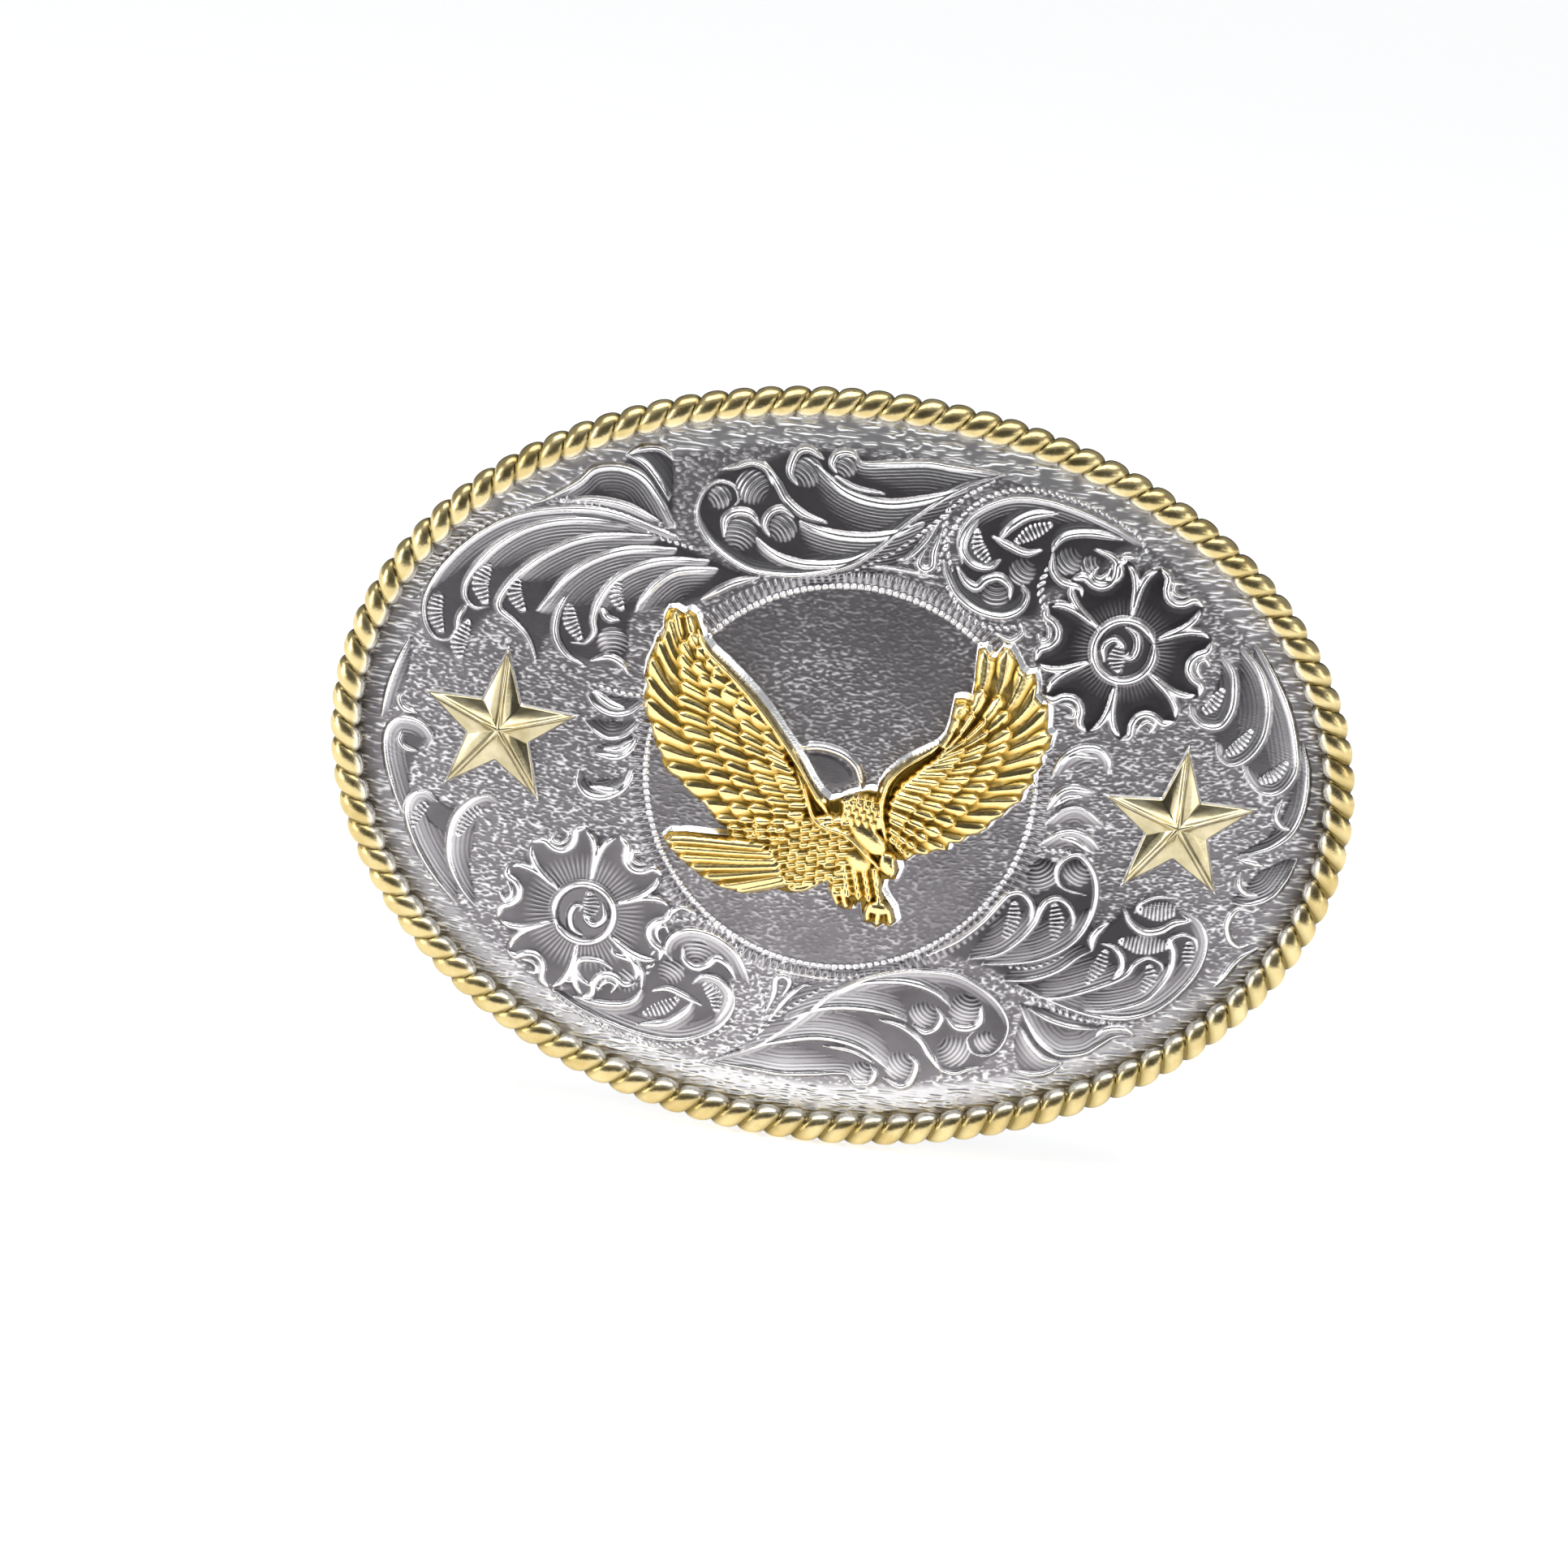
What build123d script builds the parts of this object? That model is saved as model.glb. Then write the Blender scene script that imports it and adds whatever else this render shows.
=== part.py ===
from build123d import *
import os
from math import cos, radians, sin

# An oval western belt buckle, as worn: X runs along the belt, +Z is up, and the decorated face looks along -Y.
# The origin is the centre of the concave rear surface, where the belt lies against the buckle.
# Two domed plates are soldered together inside a rope edge. An eagle and two stars stand on the face, held by
# short posts. A wire bail for the sewn end of the belt swings on a bracket at the back, and a hook for the
# punched end stands at the other side.

# The whole buckle, outside the rope edge
WIDTH = 108.0
HEIGHT = 80.4

# Domed plates: every layer is a part of a sphere about one common centre
FACE_RADIUS = 200.0
FACE_THICKNESS = 1.2
BACK_THICKNESS = 1.0
JOIN_RADIUS = FACE_RADIUS - FACE_THICKNESS
REAR_RADIUS = JOIN_RADIUS - BACK_THICKNESS
PLATE_INSET = 1.2  # the rope edge overhangs the plates by this much all round
BACK_INSET = 0.6  # the back plate is this much smaller than the face plate
PRISM_FRONT = 14.0
PRISM_REAR = 22.0

# Rope edge
ROPE_WIDTH = 3.4
ROPE_HEIGHT = 2.8
ROPE_ROUNDING = 1.1

# Eagle and stars
EAGLE_HEIGHT = 2.6
EAGLE_POST_RADIUS = 1.0
EAGLE_POSTS = [(-10.0, 2.0), (10.0, 0.5)]
EAGLE_PLACE = (0.65, -0.4)  # where the middle of the eagle's outline lies on the face
STAR_PLACES = {"left": (-36.1, -0.4), "right": (35.6, -1.3)}
STAR_RADIUS = 8.8
STAR_VALLEY = 0.41 * STAR_RADIUS
STAR_EDGE = 0.7
STAR_PEAK = 2.2
STAR_POINTS = 5
STAR_POST_RADIUS = 0.8
POST_CLEARANCE = 0.05
POST_LENGTH = 1.1

# Bail: a bent wire loop for a 38 mm belt, and its hinge bracket
BELT_WIDTH = 38.0
BAIL_WIRE = 3.0
BAIL_INSIDE = BELT_WIDTH + 2.0
BAIL_LENGTH = 17.0
BAIL_BEND = 3.5
BAIL_TILT = 12.0  # degrees that the loop leans back from the X axis at rest
PIN_END = 6.0  # the loop's turned-in ends stop this far from the middle
HINGE_X = 24.0
HINGE_Y = 6.0
KNUCKLE_NEAR = 8.0
KNUCKLE_FAR = 17.0
KNUCKLE_WALL = 1.1
HINGE_CLEARANCE = 0.08
BRACKET_WIDTH = 11.0
BRACKET_HEIGHT = 2 * KNUCKLE_FAR + 3.0
BRACKET_THICKNESS = 0.9
BRACKET_CORNER = 2.0

# Hook: a post that leans away from the bail, on a washer
HOOK_X = -30.0
HOOK_TILT = 15.0
HOOK_RADIUS = 1.9
HOOK_SHAFT = 5.4
HOOK_COLLAR_RADIUS = 2.6
HOOK_COLLAR = 1.6  # tall enough to stay under the shaft all round, as the washer slopes
SPIGOT_RADIUS = 1.4  # the thinner end that is riveted through the washer
WASHER_RADIUS = 6.5
WASHER_THICKNESS = 0.8
COLLAR_GAP = 0.02  # the solder film between the washer and the collar

# The eagle's outline from the front, clockwise from the tip of its larger wing
EAGLE_OUTLINE = [
    (-20.4, 15.6), (-18.0, 15.8), (-16.6, 14.4), (-15.2, 12.6), (-12.0, 9.7), (-9.0, 6.8),
    (-6.3, 3.5), (-4.2, 0.5), (-2.4, -1.8), (-0.6, -1.8), (1.2, -0.8), (3.2, -0.2), (4.2, 1.2),
    (5.6, 2.6), (7.6, 4.2), (9.1, 5.8), (9.9, 8.0), (10.4, 10.0), (11.5, 10.9), (11.9, 13.4),
    (11.7, 15.7), (13.1, 15.7), (14.6, 16.7), (16.0, 15.5), (17.2, 14.5), (18.4, 13.2),
    (18.6, 11.8), (19.6, 10.6), (20.1, 8.7), (20.4, 6.6), (19.8, 4.1), (19.0, 1.7), (17.8, -0.4),
    (16.0, -2.2), (14.2, -4.1), (12.3, -5.1), (10.6, -6.2), (8.6, -6.8), (6.9, -7.5), (6.5, -9.2),
    (5.1, -9.4), (5.5, -10.6), (6.2, -12.1), (7.1, -14.0), (6.4, -14.8), (4.6, -14.9), (3.6, -14.0),
    (2.5, -12.8), (2.0, -13.2), (0.5, -13.2), (-0.4, -12.0), (-1.2, -10.7), (-3.4, -12.2),
    (-5.2, -12.3), (-8.4, -13.0), (-11.2, -12.9), (-14.5, -11.7), (-17.0, -10.1), (-18.1, -8.7),
    (-17.2, -7.6), (-14.5, -7.4), (-10.9, -7.3), (-12.2, -5.9), (-14.2, -4.5), (-16.8, -2.9),
    (-18.7, -1.1), (-19.6, 0.8), (-21.0, 3.1), (-22.0, 5.9), (-22.3, 8.5), (-21.8, 12.4),
]


def ball(radius):
    """The sphere of that radius about the plates' common centre."""
    return Pos(0, REAR_RADIUS, 0) * Sphere(radius)


def layer(inner, outer):
    """The hollow sphere between two radii."""
    return ball(outer) - ball(inner)


def prism(outline):
    """A sketch in the XZ plane, made into a block long enough to pass through every layer."""
    front = extrude(outline, amount=PRISM_FRONT)
    rear = extrude(outline, amount=-PRISM_REAR)
    return front + rear


def oval(inset):
    """The block inside the buckle's outer edge, smaller by inset all round."""
    return prism(Plane.XZ * Ellipse(WIDTH / 2 - inset, HEIGHT / 2 - inset))


def surface_plane(radius, x, z, outward=True):
    """The plane that touches a layer's sphere at (x, z), facing the front if outward and the back if not."""
    y = REAR_RADIUS - (radius**2 - x**2 - z**2) ** 0.5
    normal = Vector(x, y - REAR_RADIUS, z).normalized()
    if not outward:
        normal = -normal
    along_x = (Vector(1, 0, 0) - normal * normal.X).normalized()
    return Plane(origin=(x, y, z), x_dir=along_x, z_dir=normal)


def peg_places():
    """Each post on the face: its x, its z and its radius."""
    places = [(x, z, EAGLE_POST_RADIUS) for x, z in EAGLE_POSTS]
    places += [(x, z, STAR_POST_RADIUS) for x, z in STAR_PLACES.values()]
    return places


def face_plate():
    """The domed front sheet, with a hole for each post."""
    plate = oval(PLATE_INSET) & layer(JOIN_RADIUS, FACE_RADIUS)
    for x, z, radius in peg_places():
        hole = Cylinder(radius + POST_CLEARANCE, 4 * FACE_THICKNESS)
        plate -= surface_plane(FACE_RADIUS, x, z) * hole
    return plate


def back_plate():
    """The plain sheet that closes the back."""
    return oval(PLATE_INSET + BACK_INSET) & layer(REAR_RADIUS, JOIN_RADIUS)


def rope_edge():
    """The rope moulding round the face, as a plain rounded band."""
    band = (oval(0.0) - oval(ROPE_WIDTH)) & layer(FACE_RADIUS, FACE_RADIUS + ROPE_HEIGHT)
    front = band.faces().sort_by(Axis.Y)[0]
    return fillet(front.edges(), ROPE_ROUNDING)


def eagle():
    """The eagle's flat casting on the dome, with the two posts that fix it."""
    outline = Plane.XZ * Pos(*EAGLE_PLACE) * make_face(Polyline(*EAGLE_OUTLINE, close=True))
    body = extrude(outline, amount=PRISM_FRONT)
    body = body & layer(FACE_RADIUS, FACE_RADIUS + EAGLE_HEIGHT)
    for x, z in EAGLE_POSTS:
        foot = surface_plane(FACE_RADIUS, x, z, outward=False)
        peg = Cylinder(EAGLE_POST_RADIUS, 2 * POST_LENGTH)
        body += foot * peg
    return body


def star_corner(index, radius, height):
    """A corner of the star in its own plane. Even corners are points and odd ones valleys."""
    angle = radians(90 + index * 180 / STAR_POINTS)
    return (radius * cos(angle), radius * sin(angle), height)


def star(side):
    """A five-pointed star with a ridge along each arm, seated on the dome at its place on that side."""
    corners = 2 * STAR_POINTS
    radii = [STAR_RADIUS if index % 2 == 0 else STAR_VALLEY for index in range(corners)]
    top = [star_corner(index, radii[index], STAR_EDGE) for index in range(corners)]
    bottom = [star_corner(index, radii[index], -FACE_THICKNESS) for index in range(corners)]
    peak = (0, 0, STAR_PEAK)
    faces = [Face(Wire.make_polygon(bottom, close=True))]
    for index in range(corners):
        after = (index + 1) % corners
        faces.append(Face(Wire.make_polygon([top[index], top[after], peak], close=True)))
        wall = [bottom[index], bottom[after], top[after], top[index]]
        faces.append(Face(Wire.make_polygon(wall, close=True)))
    seat = surface_plane(FACE_RADIUS, *STAR_PLACES[side])
    block = seat * Solid(Shell(faces))
    block -= ball(FACE_RADIUS)
    return block + seat * Cylinder(STAR_POST_RADIUS, 2 * POST_LENGTH)


def bail_bracket():
    """The stamped hinge bracket: a base that follows the back plate, with two rolled knuckles."""
    middle = Plane.XZ * Pos(HINGE_X, 0)
    base = prism(middle * RectangleRounded(BRACKET_WIDTH, BRACKET_HEIGHT, BRACKET_CORNER))
    bracket = base & layer(REAR_RADIUS - BRACKET_THICKNESS, REAR_RADIUS)
    bore = BAIL_WIRE / 2 + HINGE_CLEARANCE
    outside = bore + KNUCKLE_WALL
    length = KNUCKLE_FAR - KNUCKLE_NEAR
    for side in (-1, 1):
        centre = side * (KNUCKLE_NEAR + KNUCKLE_FAR) / 2
        knuckle = Pos(HINGE_X, HINGE_Y, centre) * Cylinder(outside, length)
        web = Pos(HINGE_X, HINGE_Y / 2, centre) * Box(2 * outside, HINGE_Y, length)
        bracket += knuckle + (web & ball(REAR_RADIUS - BRACKET_THICKNESS / 2))
    return bracket - Pos(HINGE_X, HINGE_Y, 0) * Cylinder(bore, BRACKET_HEIGHT)


def bail_loop():
    """The wire loop, with its two ends turned in to be the hinge pins."""
    arm = (BAIL_INSIDE + BAIL_WIRE) / 2
    route = [(0, PIN_END), (0, arm), (BAIL_LENGTH, arm), (BAIL_LENGTH, -arm), (0, -arm), (0, -PIN_END)]
    hinge = Plane(
        origin=(HINGE_X, HINGE_Y, 0),
        x_dir=(cos(radians(BAIL_TILT)), sin(radians(BAIL_TILT)), 0),
        z_dir=(sin(radians(BAIL_TILT)), -cos(radians(BAIL_TILT)), 0),
    )
    path = FilletPolyline(*route, radius=BAIL_BEND)
    start = Plane(origin=path @ 0, z_dir=path % 0)
    wire = sweep(start * Circle(BAIL_WIRE / 2), path=path)
    return hinge * wire


def hook_axis_plane():
    """The plane at the hook's foot, with its Z axis along the leaning post."""
    foot = REAR_RADIUS - (REAR_RADIUS**2 - HOOK_X**2) ** 0.5
    lean = radians(HOOK_TILT)
    return Plane(origin=(HOOK_X, foot, 0), x_dir=(0, 0, 1), z_dir=(-sin(lean), cos(lean), 0))


def hook_plate():
    """The washer under the hook, domed like the back plate."""
    round_sketch = Plane.XZ * Pos(HOOK_X, 0) * Circle(WASHER_RADIUS)
    washer = prism(round_sketch) & layer(REAR_RADIUS - WASHER_THICKNESS, REAR_RADIUS)
    hole = hook_axis_plane() * Cylinder(SPIGOT_RADIUS + POST_CLEARANCE, 4 * HOOK_RADIUS)
    return washer - hole


def hook_post():
    """The leaning post with a domed tip, its collar on the washer, and the spigot through the washer."""
    low = (Align.CENTER, Align.CENTER, Align.MIN)
    shoulder = WASHER_THICKNESS + HOOK_COLLAR
    sunk = hook_axis_plane() * Pos(0, 0, -WASHER_THICKNESS)
    foot_length = shoulder + WASHER_THICKNESS
    spigot = sunk * Cylinder(SPIGOT_RADIUS, foot_length, align=low) & ball(REAR_RADIUS)
    collar_block = sunk * Cylinder(HOOK_COLLAR_RADIUS, foot_length, align=low)
    collar = collar_block & ball(REAR_RADIUS - WASHER_THICKNESS - COLLAR_GAP)
    above = hook_axis_plane() * Pos(0, 0, shoulder)
    shaft = above * Cylinder(HOOK_RADIUS, HOOK_SHAFT, align=low)
    tip = above * Pos(0, 0, HOOK_SHAFT) * Sphere(HOOK_RADIUS)
    return spigot + collar + shaft + tip


SUBPARTS = {
    "face_plate": face_plate,
    "back_plate": back_plate,
    "rope_edge": rope_edge,
    "eagle": eagle,
    "star_left": lambda: star("left"),
    "star_right": lambda: star("right"),
    "bail_bracket": bail_bracket,
    "bail_loop": bail_loop,
    "hook_plate": hook_plate,
    "hook_post": hook_post,
}

os.makedirs("parts", exist_ok=True)
for name, make in SUBPARTS.items():
    export_step(make(), f"parts/{name}.step")
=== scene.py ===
import math

import bpy
import numpy as np
from mathutils import Matrix, Vector


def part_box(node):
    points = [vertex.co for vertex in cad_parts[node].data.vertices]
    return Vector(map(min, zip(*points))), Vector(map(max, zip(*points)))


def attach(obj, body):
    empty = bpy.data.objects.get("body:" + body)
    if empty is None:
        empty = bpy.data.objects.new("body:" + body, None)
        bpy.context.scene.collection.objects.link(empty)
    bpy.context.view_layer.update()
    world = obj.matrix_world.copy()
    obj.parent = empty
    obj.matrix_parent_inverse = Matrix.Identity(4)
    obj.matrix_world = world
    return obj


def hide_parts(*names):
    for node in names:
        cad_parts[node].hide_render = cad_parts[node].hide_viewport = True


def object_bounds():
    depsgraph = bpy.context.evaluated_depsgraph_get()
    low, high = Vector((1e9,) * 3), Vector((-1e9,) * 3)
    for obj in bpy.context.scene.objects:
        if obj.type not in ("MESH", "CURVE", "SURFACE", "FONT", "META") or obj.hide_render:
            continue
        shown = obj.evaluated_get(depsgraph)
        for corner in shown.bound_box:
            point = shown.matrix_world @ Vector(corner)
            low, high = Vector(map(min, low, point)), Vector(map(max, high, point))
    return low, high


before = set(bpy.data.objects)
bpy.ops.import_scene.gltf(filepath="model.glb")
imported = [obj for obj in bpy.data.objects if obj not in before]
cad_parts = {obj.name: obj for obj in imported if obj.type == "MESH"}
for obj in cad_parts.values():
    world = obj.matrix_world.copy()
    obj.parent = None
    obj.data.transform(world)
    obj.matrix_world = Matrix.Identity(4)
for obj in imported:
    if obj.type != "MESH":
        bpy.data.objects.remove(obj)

cad_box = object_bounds()

# Lengths are in millimetres until a mesh is made. X runs along the belt, +Z is up and the face looks
# along -Y.
MM = 0.001
REAR_RADIUS = 197.8  # the sphere of the rear surface; every layer shares its centre at (0, REAR_RADIUS, 0)
JOIN_RADIUS = 198.8
FACE_RADIUS = 200.0
HALF_WIDTH = cad_box[1].x / MM
HALF_HEIGHT = cad_box[1].z / MM
FACE_HALF_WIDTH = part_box("face_plate")[1].x / MM
FACE_HALF_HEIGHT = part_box("face_plate")[1].z / MM

# Engraving
FACE_STEP = 0.1  # between the samples of the face's relief
FACE_GRID = 861  # points along each side of the face's grid
FACE_MARGIN = 0.6  # how far the relief reaches past the face
REAR_RINGS = (1.0, 0.75, 0.5, 0.25, 0.02)  # the rear's rings of points, as shares of the way out
CURVE_STEPS = 7  # points on a smooth path from each drawn point to the next
RIDGE_HEIGHT = 0.55
HATCH_PITCH = 0.34
HATCH_DEPTH = 0.024
SHELL_PITCH = 0.46
SHELL_HEIGHT = 0.42
BEAD_HEIGHT = 0.3
BEAD_PITCH = 0.8
BEAD_LEAN = 0.9  # how far the dashes slant
VALLEY = 0.08
VALLEY_EDGE = 0.7  # how far in from its outline a valley reaches its full height
FACE_SHIFT = np.array([0.0, 0.5])
RING_CENTRE = (0.0, -0.5)
RING_RADIUS = 20.3
RING_TICKS = 172
RING_LINE = 0.26  # half the beaded line's width
BAND_OUT = 1.1  # from the ring to the middle of its band of ticks
BAND_HALF_WIDTH = 0.75
BORDER = 5.2  # from the face's outer edge to the engraved part
PLAIN_POLISH = 0.3  # of the face's edge and rear

# Flowers
PETALS = 6
FIRST_GAP = 25  # degrees from the flower's right to the first gap between two petals
PETAL_REACH = 8.8
CENTRE_RADIUS = 3.4
RAYS = 66
# One petal's edge, from one gap to the next: distance from the centre, and share of the way across
PETAL_EDGE = [(3.4, 0.0), (5.6, 0.02), (7.2, 0.04), (8.6, 0.08), (9.4, 0.17), (9.0, 0.28), (7.9, 0.32),
              (7.2, 0.40), (7.1, 0.52), (7.7, 0.62), (8.8, 0.68), (9.3, 0.80), (8.6, 0.91), (7.2, 0.96),
              (5.6, 0.98), (3.4, 1.0)]

# Patches of painted shade (positive amounts) and painted light (negative amounts) over the silver: x, z,
# half-width, half-height and by how much
PAINTED_LIGHT_AND_SHADE = [(27.0, -15.0, 13.0, 9.0, 0.16), (-25.0, -19.0, 9.0, 8.0, 0.1), (-30.0, 2.0, 10.0, 8.0, 0.05),
          (-8.0, 28.0, 14.0, 7.0, -0.07), (4.0, -36.0, 26.0, 4.0, -0.16), (0.0, 36.0, 26.0, 4.0, -0.07)]

# Rope edge
ROPE_HALF_WIDTH = 1.7
ROPE_HALF_HEIGHT = 1.4
ROPE_LOBES = 102
ROPE_GROOVE = 0.46
ROPE_FRONT_SLANT = 0.6  # the share of a turn's slant that shows in front
ROPE_LOWER_RIGHT_SHADE = 0.2  # painted shade: how much darker the colour is made at the lower right
ROPE_STEPS = 20  # points along each lobe
ROPE_SIDES = 44  # points round the tube
ROPE_SAMPLES = 20001  # points that measure the rim, to space the lobes evenly

# Eagle
EAGLE_STEP = 0.12
EAGLE_RIM = 0.75
EAGLE_FOOT = 0.8 * EAGLE_RIM  # height of its upright edge
EAGLE_EDGE = 0.5  # how far in from its outline the edge is rounded
EAGLE_SHIFT = (0.65, -0.15)
PAD_SHIFT = (0.85, 0.15)
PAD_HEIGHT = 0.6
EAGLE_HEIGHT = 2.6
FEATHER_CROWN = 0.6
SHAFT_HEIGHT = 0.07
GAP_REACH = 7  # samples averaged on each side to find the gaps between feathers, which get painted shade
GAP_DEPTH = 0.32
FAN_POINTS = 25  # along each guide of a fan of feathers

# Stars
STAR_PLACES = {"star_left": (-36.1, -0.4), "star_right": (35.6, -1.3)}
STAR_RADIUS = 8.8
STAR_VALLEY = 0.41 * STAR_RADIUS
STAR_EDGE = 0.7
STAR_PEAK = 2.2
STAR_POINTS = 5
STAR_FACETS = 0.93  # the facets end at this share of the way out
STAR_STEPS = 20  # points along each of the star's ten edges
STAR_RINGS = 24
STAR_CREST = 0.16  # height of the crests along the arms
STAR_CREST_WIDTH = 0.26
STAR_DIP = 0.5  # depth of the facets' hollows
STAR_SKIRT = ((0.945, 0.42), (1.0, 0.34), (1.0, 0.0))  # share of the way out, and height

# Wire bail and its hinge bracket
WIRE_RADIUS = 1.5
WIRE_END = 0.3  # rounding of the wire's ends
WIRE_SIDES = 40
BAIL_ROUTE = [(0, 6), (0, 21.5), (17, 21.5), (17, -21.5), (0, -21.5), (0, -6)]  # away from the hinge, and up
BAIL_BEND = 3.5
BEND_STEPS = 12
BAIL_TILT = 12.0  # degrees
HINGE_X = 24.0
HINGE_Y = 6.0
KNUCKLE_BORE = 1.58
KNUCKLE_RADIUS = 2.68
KNUCKLE_ENDS = (8.0, 17.0)
KNUCKLE_SIDES = 64
KNUCKLE_END = 0.2  # rounding of the knuckles' ends
PLATE_EDGE = 0.22  # rounding of the bracket's and the washer's rear edges
BRACKET_HALF_WIDTH = 5.5
BRACKET_HALF_HEIGHT = 18.5
BRACKET_CORNER = 2.0
BRACKET_THICKNESS = 0.9
BRACKET_RUN = 20  # points along each upright side
BRACKET_TURN = 9  # points round each corner

# Hook
HOOK_X = -30.0
HOOK_TILT = 15.0
HOOK_RADIUS = 1.9
HOOK_SHOULDER = 2.4  # height of the collar's top above the back plate
HOOK_TOP = 7.8  # height at which the rounded tip starts
COLLAR_RADIUS = 2.6
SPIGOT_RADIUS = 1.4
WASHER_HOLE = 1.45
WASHER_RADIUS = 6.5
WASHER_THICKNESS = 0.8
COLLAR_GAP = 0.02
COLLAR_EDGE = 0.25
HOOK_SIDES = 48

# Studio. Lights: name, place, size and power
LIGHTS = [
    ("top_light", (0, -200, 640), (900, 360), 3.0),
    ("left_light", (-620, -360, 160), (220, 420), 1.2),
    ("right_light", (640, -330, 180), (220, 420), 0.5),
]
FLOOR_REACH = 6000
FLOOR_GLOW = 0.72
WALL_HEIGHT = 800
WALL_GLOW = 1.0
PALE = (0.9, 0.9, 0.9)
DARK = (0.03, 0.03, 0.032)
DARK_REACH = 700  # half the dark cards' width
DARK_HEIGHT = 640
DARK_FAR = 1000  # from the buckle to the upright dark cards
DARK_NEAR = 195  # from the buckle to the near edge of the dark card on the floor
DARK_NEAR_REACH = 400
SKY = (0.95, 0.97, 1.0)
SKY_STRENGTH = 0.32

# Camera
CAMERA_DISTANCE = 650.0
CAMERA_ELEVATION = 12.0
CAMERA_ROLL = 7.6
FIELD_WIDTH = 163.7
FRAME_RIGHT = 6.0  # the buckle's centre lies this far right of the middle of the frame
FRAME_UP = 1.4


# ---------------------------------------------------------------- relief: heights drawn over a rectangle

class Relief:
    """Heights, and polish with painted light and shade, over a rectangle of the face, drawn with tools."""

    def __init__(self, half_x, half_z, step, shift):
        self.step = step
        self.shift = np.array(shift)
        self.xs = np.arange(-round(half_x / step), round(half_x / step) + 1) * step
        self.zs = np.arange(-round(half_z / step), round(half_z / step) + 1) * step
        self.height = np.zeros((len(self.zs), len(self.xs)))
        self.polish_and_painted_light = np.zeros_like(self.height)
        self.satin = np.zeros_like(self.height)

    def everywhere(self):
        """The whole rectangle as a part, and its X and Z."""
        x, z = np.meshgrid(self.xs, self.zs)
        return (slice(None), slice(None)), x, z

    def window(self, points, reach):
        """The part of the rectangle within reach of the points, and its X and Z."""
        low = points.min(0) - reach
        high = points.max(0) + reach
        columns = slice(*np.searchsorted(self.xs, [low[0], high[0]]))
        rows = slice(*np.searchsorted(self.zs, [low[1], high[1]]))
        x, z = np.meshgrid(self.xs[columns], self.zs[rows])
        return (rows, columns), x, z

    def around(self, x, z, reach):
        """The part of the rectangle within reach of a point, and its X and Z from that point."""
        centre = np.array([[x, z]]) + self.shift
        part, gx, gz = self.window(centre, reach)
        return part, gx - centre[0, 0], gz - centre[0, 1]

    def lay(self, part, height, polish_and_painted_light):
        """Raise the samples that lie lower than height, and give them this polish with its painted light and
        shade.
        """
        higher = height > self.height[part]
        self.height[part] = np.where(higher, height, self.height[part])
        self.polish_and_painted_light[part] = np.where(higher, polish_and_painted_light, self.polish_and_painted_light[part])

    def add_turned(self, other):
        """Add another relief, turned by half a turn about the middle."""
        self.lay(self.everywhere()[0], other.height[::-1, ::-1], other.polish_and_painted_light[::-1, ::-1])

    def sample(self, values, x, z):
        """The heights, the polish with its painted light and shade, or the satin at any points."""
        column = np.clip((x - self.xs[0]) / self.step, 0, len(self.xs) - 1.001)
        row = np.clip((z - self.zs[0]) / self.step, 0, len(self.zs) - 1.001)
        return between(values, row, column)


def between(grid, row, column):
    """A grid's values at any rows and columns, from the four round each."""
    i = row.astype(int)
    j = column.astype(int)
    fi = row - i
    fj = column - j
    low = grid[i, j] * (1 - fj) + grid[i, j + 1] * fj
    high = grid[i + 1, j] * (1 - fj) + grid[i + 1, j + 1] * fj
    return low * (1 - fi) + high * fi


def heading(degrees):
    """(cosine, sine) of a direction."""
    return math.cos(math.radians(degrees)), math.sin(math.radians(degrees))


def travelled(path):
    """How far each point of a path is from its start."""
    return np.concatenate([[0], np.cumsum(np.linalg.norm(np.diff(path, axis=0), axis=1))])


def smooth(points):
    """A smooth path through the points, as a Catmull-Rom curve."""
    p = np.array(points, float)
    if len(p) < 3:
        return p
    p = np.vstack([2 * p[0] - p[1], p, 2 * p[-1] - p[-2]])
    t = np.linspace(0, 1, CURVE_STEPS, endpoint=False)[:, None]
    pieces = []
    for a, b, c, d in zip(p[:-3], p[1:-2], p[2:-1], p[3:]):
        bend = (2 * b) + (c - a) * t + (2 * a - 5 * b + 4 * c - d) * t**2
        pieces.append((bend + (3 * b - a - 3 * c + d) * t**3) / 2)
    return np.vstack([*pieces, p[-2:-1]])


def measure(path, x, z):
    """(distance, share, length) of the samples by a path.

    The distance is positive on the path's left. The share is how far along the path a sample lies, from 0
    to 1, and the length is the whole path's.
    """
    nearest = np.full(x.shape, 1e9)
    side = np.zeros(x.shape)
    along = np.zeros(x.shape)
    total = 0.0
    for a, b in zip(path[:-1], path[1:]):
        dx, dz = b - a
        length = math.hypot(dx, dz)
        if length == 0:
            continue
        t = np.clip(((x - a[0]) * dx + (z - a[1]) * dz) / length**2, 0, 1)
        gap_x = x - a[0] - t * dx
        gap_z = z - a[1] - t * dz
        gap = gap_x**2 + gap_z**2
        closer = gap < nearest
        nearest = np.where(closer, gap, nearest)
        side = np.where(closer, np.sign(dx * gap_z - dz * gap_x), side)
        along = np.where(closer, total + t * length, along)
        total += length
    return np.sqrt(nearest) * side, along / total, total


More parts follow.
